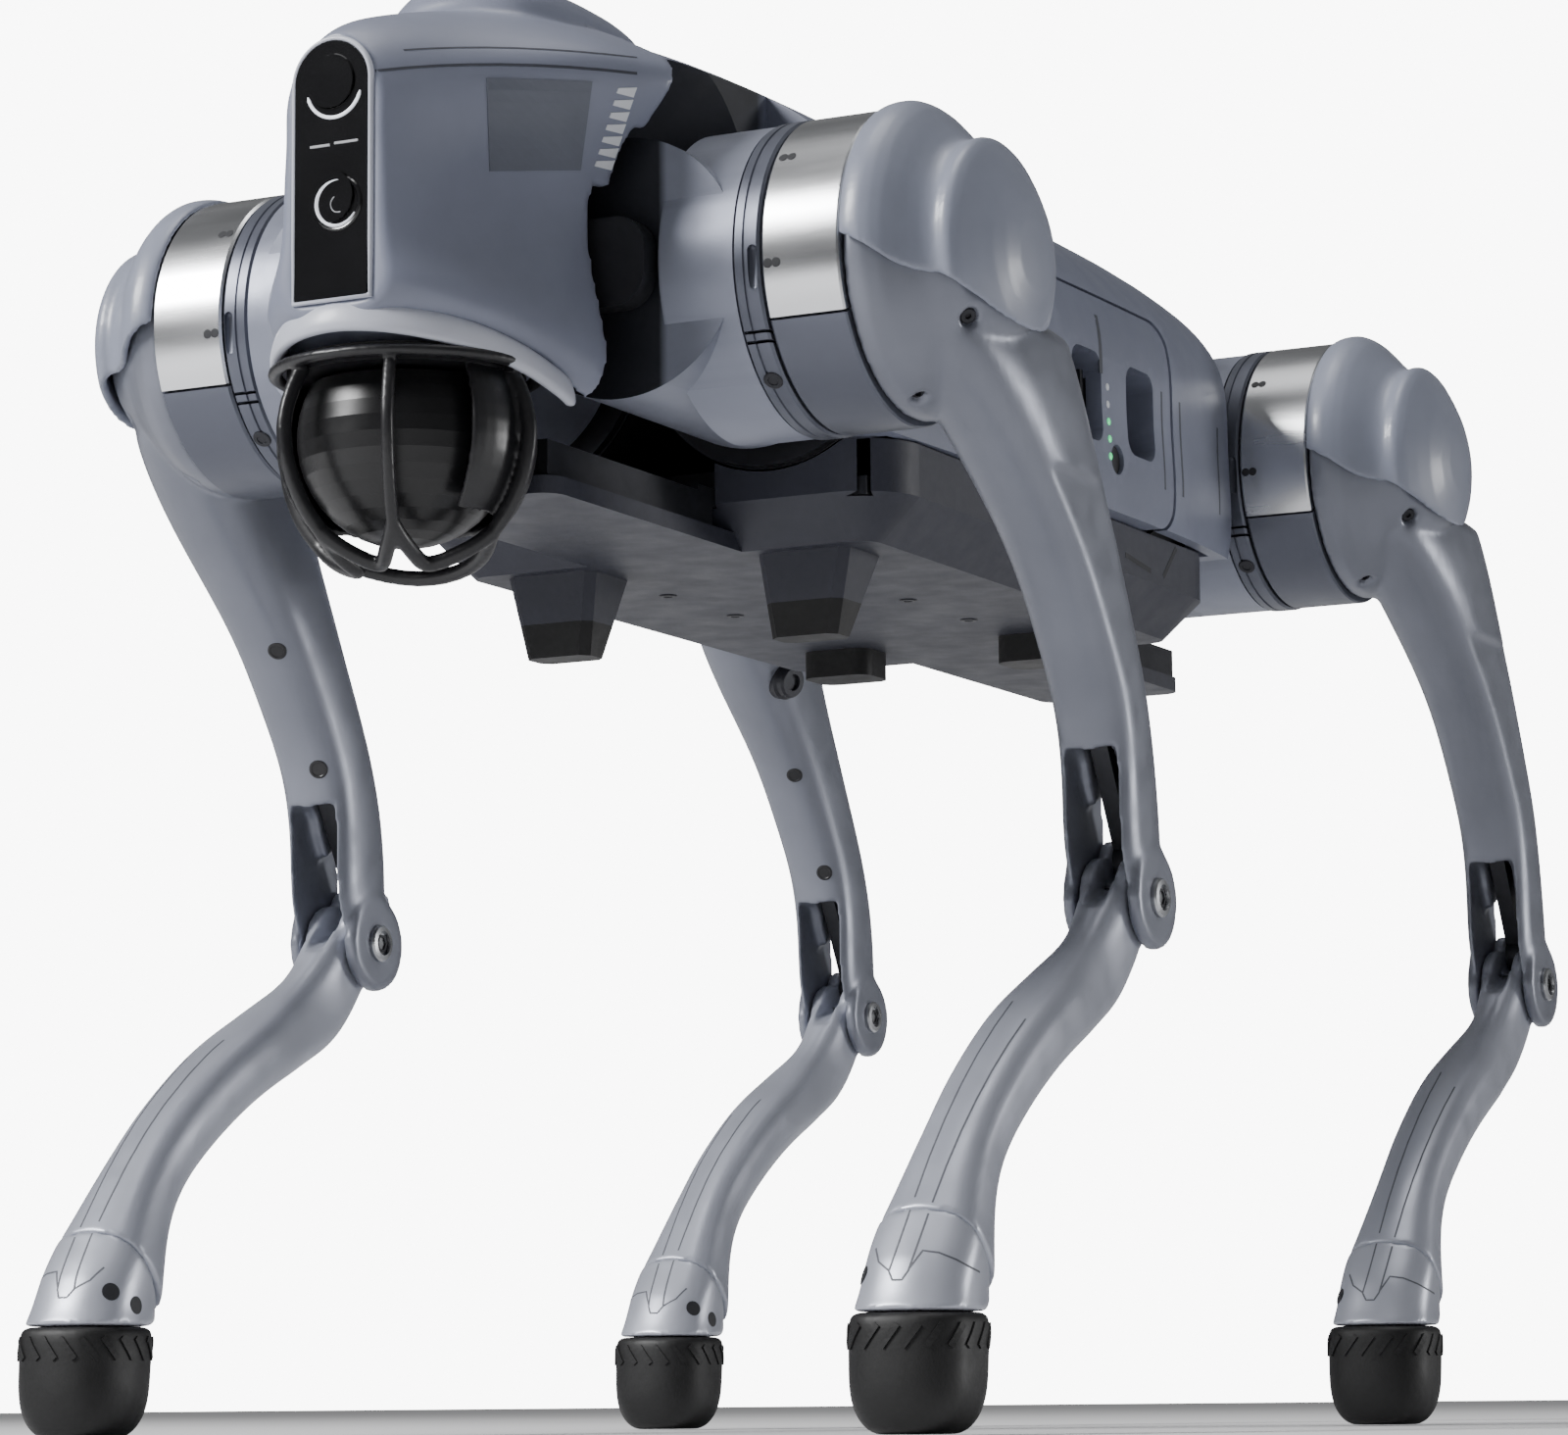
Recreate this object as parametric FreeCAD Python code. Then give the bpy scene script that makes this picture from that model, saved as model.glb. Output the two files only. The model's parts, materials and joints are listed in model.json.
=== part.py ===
import FreeCAD, Part
import math
import os

# Quadruped robot dog in millimetres.  X is the robot's left, Y points to its rear and
# Z is up.  Everything is modelled with Z = 0 on the hip axes and moved onto the floor
# by place() when it is exported.

# --- driving dimensions ---------------------------------------------------------------
HIP_Y = 193.4              # hip axis, in front of and behind the trunk's centre
ABDUCTION_X = 46.5         # abduction axis, left and right of the middle
LEG_X = 146.0              # plane of each leg
THIGH = 215.0              # hip axis to knee axis
CALF = 215.0               # knee axis to foot centre
THIGH_LEAN = 29.0          # degrees, knee behind the hip
CALF_LEAN = 47.2           # degrees, foot in front of the knee
FOOT_DROP = 22.0           # foot centre to the ground
LENGTH_SHIFT = 8.93        # puts the middle of the whole length on Y = 0

MOTOR_R = 49.6             # drive motors at hip and knee
HOUSING_R = 49.0
HUB_R = 41.0               # hip hub about the abduction axis
HUB_HALF = 45.0
HOUSING_X = (62.0, 87.6)
RING_X = (87.9, 96.7)      # visible ring of the hip motor
BAND_X = (97.2, 123.6)     # visible band of the knee motor
DRUM_X = (124.0, 164.2)    # upper drum of the thigh, domed towards its outer end
DRUM_R = 47.5
SWEEP_GAP = 2.2            # air left round a swinging hip
SWEEP_ANGLES = (-35, -23, -12, 0, 12, 24, 36, 48)

LINK_R = 16.0              # crank and calf lever of the knee linkage
LEVER_ANGLE = 124.5        # degrees from forward towards up, at rest
ROD_X = (142.6, 148.6)
ROD_SPACE_X = (140.8, 150.4)
CHANNEL_X = (137.0, 155.0)
KNEE_R = 16.5
KNEE_X = (132.5, 159.5)
CALF_X = (137.5, 154.5)
CALF_SLOT_X = (142.0, 149.3)
CRANK_X = (128.0, 138.0, 142.0)   # hub end, web and its far face
PIN_R = 4.44
PIN_BORE_R = 4.5
CAP_GAP = 1.5              # dark joint under the lower edge of the thigh cap
RUN = 0.06                 # running clearance on a radius

BODY_HALF = 140.0          # half length of the trunk between the hips
END_Y = 262.0              # rear end of the trunk
WALL = 5.0

BATTERY_Y = (-18.0, 78.0)
BATTERY_Z = (-38.0, 38.0)
BATTERY_X0 = -10.0
SLOT_YS = (5.0, 50.0)      # finger slots of the battery
SLOT_HALF = (12.0, 16.0)
SLOT_FLOOR = 80.0
LED_Y = 28.0

SKID_X = 47.7
SKID_Y = -105.0
SKID_Z = (-66.0, -98.0)
LENS_Z = 43.0              # camera lens and lamp of the face
LAMP_Z = 8.0

LIDAR_Y = -288.0
LIDAR_Z = -58.0
DOME_R = 33.0
GUARD_R = 44.0

X_AXIS = FreeCAD.Vector(1, 0, 0)
Y_AXIS = FreeCAD.Vector(0, 1, 0)
Z_AXIS = FreeCAD.Vector(0, 0, 1)

thigh_angle = math.radians(THIGH_LEAN)
calf_angle = math.radians(CALF_LEAN)
KNEE_Y = THIGH * math.sin(thigh_angle)
KNEE_Z = -THIGH * math.cos(thigh_angle)
FOOT_Y = KNEE_Y - CALF * math.sin(calf_angle)
FOOT_Z = KNEE_Z - CALF * math.cos(calf_angle)
HIP_HEIGHT = FOOT_DROP - FOOT_Z


# --- small helpers --------------------------------------------------------------------
def vec(x, y, z):
    return FreeCAD.Vector(x, y, z)


def box(xs, ys, zs):
    size = (xs[1] - xs[0], ys[1] - ys[0], zs[1] - zs[0])
    return Part.makeBox(*size, vec(xs[0], ys[0], zs[0]))


def rod_x(radius, xs, y=0.0, z=0.0):
    return Part.makeCylinder(radius, xs[1] - xs[0], vec(xs[0], y, z), X_AXIS)


def rod_y(radius, ys, x=0.0, z=0.0):
    return Part.makeCylinder(radius, ys[1] - ys[0], vec(x, ys[0], z), Y_AXIS)


def rod_z(radius, zs, x=0.0, y=0.0):
    return Part.makeCylinder(radius, zs[1] - zs[0], vec(x, y, zs[0]), Z_AXIS)


def fuse(shapes):
    result = shapes[0]
    for shape in shapes[1:]:
        result = result.fuse(shape)
    return result.removeSplitter()


def cut(shape, tools):
    for tool in tools:
        shape = shape.cut(tool)
    return shape


def rounded_box(xs, ys, zs, radius, along):
    """Box with the four edges along one axis rounded."""
    solid = box(xs, ys, zs)
    edges = [e for e in solid.Edges if abs(e.tangentAt(e.FirstParameter).dot(along)) > 0.99]
    return solid.makeFillet(radius, edges)


def prism(points, axis, length):
    """Straight prism over a closed outline."""
    face = Part.Face(Part.makePolygon(points + [points[0]]))
    return face.extrude(axis * length)


def spline_wire(points):
    curve = Part.BSplineCurve()
    curve.interpolate(Points=points, PeriodicFlag=True)
    return Part.Wire([curve.toShape()])


def oval_wire(centre, u, v, half_u, half_v, power=3.0, count=16):
    """Closed superellipse round a centre in the plane of u and v."""
    points = []
    for i in range(count):
        angle = 2 * math.pi * (i + 0.5) / count
        c = math.cos(angle)
        s = math.sin(angle)
        cu = math.copysign(abs(c) ** (2 / power), c) * half_u
        cv = math.copysign(abs(s) ** (2 / power), s) * half_v
        points.append(centre + u * cu + v * cv)
    return spline_wire(points)


def loft(wires, ruled=False):
    return Part.makeLoft(wires, True, ruled)


def revolve(profile, origin, axis, angle=360):
    face = Part.Face(Part.makePolygon(profile + [profile[0]]))
    return face.revolve(origin, axis, angle)


def mirror_x(shape):
    return shape.mirror(vec(0, 0, 0), X_AXIS)


def mirror_y(shape):
    return shape.mirror(vec(0, 0, 0), Y_AXIS)


def both_sides(shape):
    return [shape, mirror_x(shape)]


def four_corners(shape):
    return both_sides(shape) + both_sides(mirror_y(shape))


# --- trunk ----------------------------------------------------------------------------
def roof_section(y, wide, top, low):
    """Cross-section of the back: flat belly line, round sides and a ridged roof."""
    half = [
        (0.0, low), (0.55 * wide, low), (0.90 * wide, low + 5), (0.99 * wide, low + 22),
        (wide, 0.0), (0.965 * wide, 0.40 * top), (0.84 * wide, 0.60 * top),
        (0.62 * wide, 0.79 * top), (0.33 * wide, 0.94 * top), (0.0, top),
    ]
    points = [vec(x, y, z) for x, z in half]
    points += [vec(-x, y, z) for x, z in reversed(half[1:-1])]
    return spline_wire(points)


def trunk_loft(inset=0.0):
    """Outer body of the trunk behind the head, or the same body shrunk by inset."""
    stations = [
        (-232.0, 84.0, 84.0), (-200.0, 88.0, 88.0), (-140.0, 91.0, 91.0), (-60.0, 95.0, 90.0),
        (40.0, 98.0, 88.0), (110.0, 97.0, 87.0), (160.0, 92.0, 84.0), (215.0, 84.0, 78.0),
        (250.0, 76.0, 70.0), (END_Y, 68.0, 62.0),
    ]
    wires = []
    for y, wide, top in stations:
        wires.append(roof_section(y, wide - inset, top - inset, -60.0))
    return loft(wires)


def hip_sweep():
    """Space a front left hip and its drum need over the whole abduction range."""
    radius = MOTOR_R + SWEEP_GAP
    drum = rod_x(radius, (HOUSING_X[0] - SWEEP_GAP, DRUM_X[1]), -HIP_Y)
    tools = [rod_y(HUB_R + SWEEP_GAP, (-HIP_Y - radius, -HIP_Y + radius), x=ABDUCTION_X)]
    for angle in SWEEP_ANGLES:
        turned = drum.copy()
        turned.rotate(vec(ABDUCTION_X, 0, 0), Y_AXIS, -angle)
        tools.append(turned)
    return tools


def motor_seat(radius):
    """Bore left in the trunk round a front left abduction motor."""
    return rod_y(radius, (-BODY_HALF - 8, -97), x=ABDUCTION_X)


def make_chassis():
    spine_top = box((-14, 14), (-248, 248), (50, 60))
    floor = box((-80, 80), (-136, 136), (-57, -51))
    bridge = box((-26, 26), (-150, 150), (-57, -51))
    parts = [spine_top, floor, bridge]
    for side in (-1, 1):
        inner = sorted((side * 88, side * 96))
        outer = sorted((side * 240, side * 248))
        under = sorted((side * 140, side * 248))
        parts.append(box((-26, 26), under, (-64, -53)))
        parts.append(box((-80, 80), inner, (-57, 50)).common(trunk_loft(WALL + 1)))
        parts.append(box((-14, 14), outer, (-64, 60)))
        parts.append(rounded_box((-60, 60), outer, (-14, 14), 10, Y_AXIS))
    frame = fuse(parts)
    stub = rod_y(8.0, (-241, -228), x=ABDUCTION_X)
    frame = fuse([frame] + four_corners(stub))
    hatch = box((-62, 62), (-100, 100), (-36, 40))
    return frame.cut(hatch)


def make_abduction_motors():
    body = rod_y(45.5, (-141.5, -104), x=ABDUCTION_X)
    back = rod_y(38.0, (-104, -97), x=ABDUCTION_X)
    rim = rod_y(46.2, (-138, -132), x=ABDUCTION_X)
    motor = fuse([body, back, rim])
    return Part.makeCompound(four_corners(motor))


def make_computer_board():
    base = box((-76, -22), (-80, 80), (-50, -20))
    fins = [box((-74 + 6 * i, -71 + 6 * i), (-76, 76), (-20, -4)) for i in range(9)]
    return fuse([base] + fins)


def battery_space(gap=0.0):
    ys = (BATTERY_Y[0] - gap, BATTERY_Y[1] + gap)
    zs = (BATTERY_Z[0] - gap, BATTERY_Z[1] + gap)
    return rounded_box((BATTERY_X0 - gap, 130), ys, zs, 9, X_AXIS)


def make_back_shell():
    shell = trunk_loft()
    hollow = trunk_loft(WALL).common(box((-120, 120), (-132, 132), (-90, 120)))
    below = box((-120, 120), (-300, 300), (-90, -38))
    spine = box((-14.5, 14.5), (-260, 255), (-90, 61))
    tail_plate = box((-62, 62), (238, 250), (-90, 24))
    tools = [hollow, below, spine, tail_plate, battery_space(0.8)]
    for tool in hip_sweep() + [motor_seat(47.0)]:
        tools += four_corners(tool)
    skirts = [
        box((47, 120), (-300, -BODY_HALF), (-90, 120)),
        box((47, 120), (BODY_HALF + 1, 234), (-90, 120)),
        box((-120, 120), (-300, -BODY_HALF - 1), (-90, 44)),
        box((-120, 120), (BODY_HALF + 1, 236), (-90, 44)),
    ]
    for skirt in skirts:
        tools += both_sides(skirt)
    shell = cut(shell, tools)
    return largest(shell)


def largest(shape):
    """Keep the biggest solid when a cut leaves crumbs."""
    solids = sorted(shape.Solids, key=lambda solid: solid.Volume)
    return solids[-1]


def octagon_wire(x, y, z, half_x, half_y, corner):
    """Level rectangle with its corners cut off."""
    points = []
    for sx, sy, first in ((1, 1, True), (-1, 1, False), (-1, -1, True), (1, -1, False)):
        wide = vec(x + sx * half_x, y + sy * (half_y - corner), z)
        deep = vec(x + sx * (half_x - corner), y + sy * half_y, z)
        points += [wide, deep] if first else [deep, wide]
    return Part.makePolygon(points + [points[0]])


def front_skid(z_top, z_low):
    """Slice of the tapered left front skid between two heights."""
    wires = []
    for z in (z_top, z_low):
        t = (SKID_Z[0] - z) / (SKID_Z[0] - SKID_Z[1])
        wires.append(octagon_wire(SKID_X - 1.3 * t, SKID_Y - 5 * t, z, 17.6 - 5.6 * t, 14.6 - 7.6 * t, 3))
    return loft(wires, True)


def make_belly_cover():
    tray = rounded_box((-90, 90), (-139, 139), (-70, -38.6), 22, Z_AXIS)
    bottom = [e for e in tray.Edges if max(v.Z for v in e.Vertexes) < -69]
    tray = tray.makeChamfer(14, bottom)
    inside = box((-81, 81), (-137, 137), (-57.4, -30))
    strip = rounded_box((-29, 29), (-250, 250), (-70, -64.4), 8, Z_AXIS)
    notch = box((-26.4, 26.4), (-260, 260), (-57.4, -30))
    tray = tray.cut(inside).cut(notch)
    cover = fuse([tray, strip] + both_sides(front_skid(SKID_Z[0], -86.5)))
    cover = cut(cover, four_corners(motor_seat(47.0)))
    return largest(cover)


def make_belly_pads():
    front = front_skid(-86.5, SKID_Z[1])
    rear = rounded_box((26, 53), (78, 100), (-80, -70), 6, Z_AXIS)
    pads = both_sides(front) + both_sides(rear)
    return Part.makeCompound(pads)


# --- head -----------------------------------------------------------------------------
def head_section(y, low_w, mid_w, top_w, low, shoulder, top):
    half = [
        (0.0, low), (0.60 * low_w, low + 1), (0.95 * low_w, low + 9), (0.5 * (low_w + mid_w), -12),
        (mid_w, 14.0), (0.5 * (mid_w + top_w), 0.7 * shoulder), (top_w, shoulder),
        (0.80 * top_w, shoulder + 0.45 * (top - shoulder)), (0.42 * top_w, top - 3), (0.0, top),
    ]
    points = [vec(x, y, z) for x, z in half]
    points += [vec(-x, y, z) for x, z in reversed(half[1:-1])]
    return spline_wire(points)


def head_loft(inset=0.0):
    """Head from its flat nose to the hips, or the same body shrunk by inset."""
    stations = [
        (-330.0, 20, 17, 16, -28, 40, 58), (-317.0, 33, 23, 22, -31, 46, 65.5),
        (-295.0, 43, 29, 33, -36, 52, 73), (-272.0, 48, 37, 48, -42, 57, 79),
        (-250.0, 50, 44, 62, -48, 58, 82), (-233.0, 50, 47, 68, -52, 58, 84),
    ]
    wires = []
    for y, low_w, mid_w, top_w, low, shoulder, top in stations:
        back = y + (inset if y < -320 else 0)
        wires.append(head_section(back, low_w - inset, mid_w - inset, top_w - inset,
                                  low + inset, shoulder - 0.4 * inset, top - inset))
    return loft(wires)


def face_outline(half_wide, low, high, y0, y1):
    """Upright plate with a round top."""
    plate = box((-half_wide, half_wide), (y0, y1), (low, high - half_wide))
    cap = rod_y(half_wide, (y0, y1), z=high - half_wide)
    return fuse([plate, cap])


def make_hump():
    """Low raised pad on top of the head and neck."""
    low = oval_wire(vec(0, -218, 62), X_AXIS, Y_AXIS, 32, 52, 3)
    mid = oval_wire(vec(0, -220, 86), X_AXIS, Y_AXIS, 29, 46, 3)
    top = oval_wire(vec(0, -222, 95), X_AXIS, Y_AXIS, 22, 39, 3)
    return loft([low, mid, top])


def make_head_shell():
    head = fuse([head_loft(), make_hump()])
    hollow = head_loft(WALL).common(box((-90, 90), (-318, -200), (-100, 100)))
    mouth = rod_z(41.0, (-90, -34.0), y=LIDAR_Y)
    throat = box((-41, 41), (-288, -200), (-90, -34.0))
    panel = face_outline(12.9, -23, 56, -336, -324)
    plate = box((-64, 64), (-252, -230), (-90, 24))
    spine = box((-14.6, 14.6), (-252, -230), (-90, 61))
    behind = box((-120, 120), (-232.5, -100), (-90, 120)).common(trunk_loft(-0.2))
    under = box((-120, 120), (-232.5, -100), (-90, 80))
    tools = [hollow, mouth, throat, panel, plate, spine, behind, under]
    for tool in hip_sweep():
        tools += both_sides(tool)
    head = cut(head, tools)
    return largest(head)


def make_face_panel():
    panel = face_outline(12.5, -22.6, 55.6, -331.2, -324.4)
    holes = [rod_y(8.2, (-336, -328), z=LENS_Z), rod_y(8.2, (-336, -328), z=LAMP_Z)]
    return cut(panel, holes)


def make_face_optics():
    lens = rod_y(8.0, (-332.0, -328.2), z=LENS_Z)
    lamp = rod_y(8.0, (-332.0, -328.2), z=LAMP_Z)
    return Part.makeCompound([lens, lamp])


def guard_rib(azimuth):
    """One rib of the guard: a quarter ring turned about the upright axis."""
    start = math.radians(16)
    stop = math.radians(-62)
    count = 10
    outer = []
    inner = []
    for i in range(count + 1):
        angle = start + (stop - start) * i / count
        outer.append(vec(0, -GUARD_R * math.cos(angle), GUARD_R * math.sin(angle)))
        inner.append(vec(0, -(GUARD_R - 5) * math.cos(angle), (GUARD_R - 5) * math.sin(angle)))
    rib = prism(outer + inner[::-1], X_AXIS, 3.0)
    rib.translate(vec(-1.5, 0, 0))
    rib.rotate(vec(0, 0, 0), Z_AXIS, azimuth)
    rib.translate(vec(0, LIDAR_Y, LIDAR_Z))
    return rib


def make_lidar_guard():
    top = rod_z(GUARD_R, (-46, -41), y=LIDAR_Y).cut(rod_z(38.5, (-50, -30), y=LIDAR_Y))
    low_z = LIDAR_Z - GUARD_R * math.sin(math.radians(62))
    low = rod_z(21.5, (low_z, low_z + 4.5), y=LIDAR_Y).cut(rod_z(15, (-110, -60), y=LIDAR_Y))
    ribs = [guard_rib(azimuth) for azimuth in (-105, -75, -45, -15, 15, 45, 75, 105)]
    behind = box((-60, 60), (-254, -200), (-120, 0))
    return fuse([top, low] + ribs).cut(behind)


def make_lidar_base():
    seat = rod_z(36.0, (-40.4, -35.0), y=LIDAR_Y)
    arm = box((-20, 20), (-288, -248.6), (-40.4, -35.0))
    heel = box((-13, 13), (-253.0, -248.6), (-60, -35))
    pin = rod_z(6.0, (-50, -40.4), y=LIDAR_Y)
    lug = [box((34 * side - 5, 34 * side + 5), (-291, -285), (-41.0, -35.0)) for side in (-1, 1)]
    return fuse([seat, arm, heel, pin] + lug)


def make_lidar_dome():
    profile = [vec(0, 0, -DOME_R)]
    steps = 14
    stop = math.degrees(math.asin(16.0 / DOME_R))
    for i in range(1, steps + 1):
        angle = math.radians(-90 + (stop + 90) * i / steps)
        profile.append(vec(DOME_R * math.cos(angle), 0, DOME_R * math.sin(angle)))
    profile.append(vec(0, 0, DOME_R * math.sin(math.radians(stop))))
    dome = revolve(profile, vec(0, 0, 0), Z_AXIS)
    bore = rod_z(6.0 + RUN, (6.0, 40.0))
    dome = dome.cut(bore)
    dome.translate(vec(0, LIDAR_Y, LIDAR_Z))
    return dome


# --- battery --------------------------------------------------------------------------
def slot_recess(y):
    ys = (y - SLOT_HALF[0], y + SLOT_HALF[0])
    zs = (-SLOT_HALF[1], SLOT_HALF[1])
    return rounded_box((SLOT_FLOOR, 120), ys, zs, 6, X_AXIS)


def make_battery():
    pack = battery_space().common(trunk_loft(0.6))
    tools = [slot_recess(y) for y in SLOT_YS]
    tools.append(rod_x(5.0 + 0.3, (88, 120), y=LED_Y, z=-20))
    for y, side in zip(SLOT_YS, (1, -1)):
        wall = y + side * SLOT_HALF[0]
        ys = sorted((wall - side * 1, wall + side * 8))
        tools.append(box((83, 91), ys, (-8, 8)))
    return largest(cut(pack, tools))


def make_latch(y, side):
    """Sliding catch in the wall of a finger slot."""
    wall = y + side * SLOT_HALF[0]
    stem = sorted((wall - side * 4, wall + side * 4.5))
    paddle = sorted((wall - side * 6, wall - side * 3.6))
    stem_box = box((83.6, 90.4), stem, (-7.4, 7.4))
    paddle_box = box((81.5, 91.5), paddle, (-10, 10))
    return fuse([stem_box, paddle_box])


def make_power_button():
    return rod_x(5.0, (90.5, 96.6), y=LED_Y, z=-20)


# --- leg, built as the front left one with its hip axis at Y = 0 ------------------------
def thigh_point(s, offset, x):
    """Point s down the thigh's line and offset in front of it."""
    down = (math.sin(thigh_angle), -math.cos(thigh_angle))
    front = (-math.cos(thigh_angle), -math.sin(thigh_angle))
    return vec(x, s * down[0] + offset * front[0], s * down[1] + offset * front[1])


def calf_point(s, offset, x):
    """Point s down the calf's line and offset in front of it."""
    down = (-math.sin(calf_angle), -math.cos(calf_angle))
    front = (-math.cos(calf_angle), math.sin(calf_angle))
    y = KNEE_Y + s * down[0] + offset * front[0]
    z = KNEE_Z + s * down[1] + offset * front[1]
    return vec(x, y, z)


THIGH_FRONT = thigh_point(0, 1, 0)
CALF_FRONT = calf_point(0, 1, 0) - calf_point(0, 0, 0)


def link_pin(y, z):
    """Pin centre of a crank or lever turning about the point y, z."""
    angle = math.radians(LEVER_ANGLE)
    return y - LINK_R * math.cos(angle), z + LINK_R * math.sin(angle)


def make_hip_housing():
    hub = rod_y(HUB_R, (-HUB_HALF, HUB_HALF), x=ABDUCTION_X)
    hub = hub.cut(box((84, 120), (-60, 60), (-60, 60)))
    drum = rod_x(HOUSING_R, HOUSING_X)
    housing = fuse([hub, drum])
    stator_space = rod_x(43.2, (67.5, 90))
    hollow = rod_y(HUB_R - 6, (-36, 36), x=ABDUCTION_X)
    hollow = hollow.common(box((0, 62), (-60, 60), (-60, 60)))
    bore = rod_y(8.0 + RUN, (-60, 60), x=ABDUCTION_X)
    return cut(housing, [stator_space, hollow, bore])


def make_hip_motor():
    ring = rod_x(MOTOR_R, RING_X)
    stator = rod_x(42.5, (68.5, RING_X[0]))
    boss = rod_x(12.0, (RING_X[1], 100.3))
    motor = fuse([stator, ring, boss])
    return motor


def make_knee_motor():
    band = rod_x(MOTOR_R, BAND_X)
    shaft = rod_x(7.0, (BAND_X[1], CRANK_X[1] + 1.5))
    motor = fuse([band, shaft])
    return motor.cut(rod_x(12.0 + RUN, (90, 101)))


def make_crank():
    hub_x, web_x, end_x = CRANK_X
    hub = rod_x(11.0, (hub_x, end_x))
    pin_y, pin_z = link_pin(0, 0)
    eye = rod_x(6.5, (web_x, end_x), pin_y, pin_z)
    web_axis = vec(0, pin_y, pin_z)
    side = vec(0, -pin_z, pin_y).normalize() * 6.5
    start = vec(web_x, 0, 0)
    corners = [start + side, start - side, start - side + web_axis, start + side + web_axis]
    web = prism(corners, X_AXIS, end_x - web_x)
    pin = rod_x(4.0, (end_x, ROD_X[1] + 0.4), pin_y, pin_z)
    crank = fuse([hub, eye, web, pin])
    return crank.cut(rod_x(7.0 + RUN, (110, web_x + 2)))


def make_push_rod():
    top_y, top_z = link_pin(0, 0)
    low_y, low_z = link_pin(KNEE_Y, KNEE_Z)
    side = thigh_point(0, 3.5, 0)
    x0 = ROD_X[0]
    corners = [vec(x0, top_y, top_z) + side, vec(x0, low_y, low_z) + side]
    corners += [vec(x0, low_y, low_z) - side, vec(x0, top_y, top_z) - side]
    bar = prism(corners, X_AXIS, ROD_X[1] - x0)
    eyes = [rod_x(7.0, ROD_X, y, z) for y, z in ((top_y, top_z), (low_y, low_z))]
    holes = [rod_x(4.0 + RUN, (130, 160), top_y, top_z), rod_x(4.8, (130, 160), low_y, low_z)]
    return cut(fuse([bar] + eyes), holes)


def drum_form(grow=0.0):
    """Domed upper end of the thigh; grow adds to its radius."""
    profile = [
        (DRUM_X[0], DRUM_R), (130.0, 47.4), (135.0, 45.0), (140.0, 40.8), (145.0, 36.2),
        (150.0, 32.8), (154.0, 30.0), (158.0, 24.5), (161.5, 19.0), (163.5, 13.0),
    ]
    points = [vec(DRUM_X[0], 0, 0)] + [vec(x, 0, r + grow) for x, r in profile]
    points.append(vec(DRUM_X[1] + grow, 0, 0))
    return revolve(points, vec(0, 0, 0), X_AXIS)


def drum_bore():
    """Space inside the drum for the crank and the end of the push rod."""
    profile = [
        (110.0, 0), (110.0, 40.0), (131.0, 40.0), (138.0, 37.0), (143.0, 31.5), (147.0, 28.0),
        (151.0, 25.5), (152.0, 24.0), (152.0, 0),
    ]
    return revolve([vec(x, 0, r) for x, r in profile], vec(0, 0, 0), X_AXIS)


def above_cap_edge(gap=0.0):
    """Everything above the wavy lower edge of the thigh cap, lowered by the gap."""
    edge = [
        (110, 3), (128, -1), (139, -8), (150, -11), (158, -17), (166, -25), (180, -25), (180, 80), (110, 80),
    ]
    return prism([vec(x, -70, z - gap if z < 50 else z) for x, z in edge], Y_AXIS, 140)


def thigh_loft():
    stations = [
        (5, 0, 29, 138.5, 14.0), (24, -2, 33, 141.5, 17.0), (50, -7, 28, 144.5, 17.0), (75, -11.5, 22.5, 146.0, 15.5),
        (100, -16, 18.5, 146.5, 14.3), (130, -18.3, 16, 146.5, 13.6), (155, -18, 15.5, 146.3, 13.2),
        (175, -13, 17.5, 146.0, 13.0), (195, -5, 18.5, 146.0, 13.0), (210, 0, 15, 146.0, 13.0),
    ]
    wires = []
    for s, offset, deep, x, wide in stations:
        wires.append(oval_wire(thigh_point(s, offset, x), X_AXIS, THIGH_FRONT, wide, deep, 3.2))
    return loft(wires)


def thigh_slot(s0, s1, front, back, xs=CHANNEL_X):
    """Straight-sided pocket along the thigh between two offsets."""
    corners = [thigh_point(s0, front, xs[0]), thigh_point(s1, front, xs[0])]
    corners += [thigh_point(s1, back, xs[0]), thigh_point(s0, back, xs[0])]
    return prism(corners, X_AXIS, xs[1] - xs[0])


def make_thigh_frame():
    knee = rod_x(KNEE_R, KNEE_X, KNEE_Y, KNEE_Z)
    below_cap = thigh_loft().cut(above_cap_edge(CAP_GAP))
    frame = fuse([drum_form(), below_cap, knee])
    flank = box((KNEE_X[1], 200), (-60, 200), (-260, -60))
    tools = [
        drum_bore(),
        thigh_slot(10, 190, -5.0, -25.0, ROD_SPACE_X),
        thigh_slot(172, 250, 40, -10),
        rod_x(9.0, CHANNEL_X, thigh_point(172, -2, 0).y, thigh_point(172, -2, 0).z),
        thigh_slot(186, 250, 60, -60),
        rod_x(PIN_BORE_R, (100, 180), KNEE_Y, KNEE_Z),
        box((90, DRUM_X[0]), (-90, 90), (-90, 90)),
        flank,
    ]
    return largest(cut(frame, tools))


def make_thigh_cap():
    profile = [
        (124.1, 0), (124.1, 50.4), (129.0, 51.4), (134.0, 49.6), (139.0, 45.4), (144.0, 40.6), (148.0, 37.6),
        (152.0, 35.8), (155.0, 33.4), (159.0, 28.0), (163.0, 22.5), (165.5, 17.0), (167.0, 9.0), (167.2, 0),
    ]
    cap = revolve([vec(x, 0, r) for x, r in profile], vec(0, 0, 0), X_AXIS)
    return largest(cap.common(above_cap_edge()).cut(drum_form(0.2)))


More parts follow.
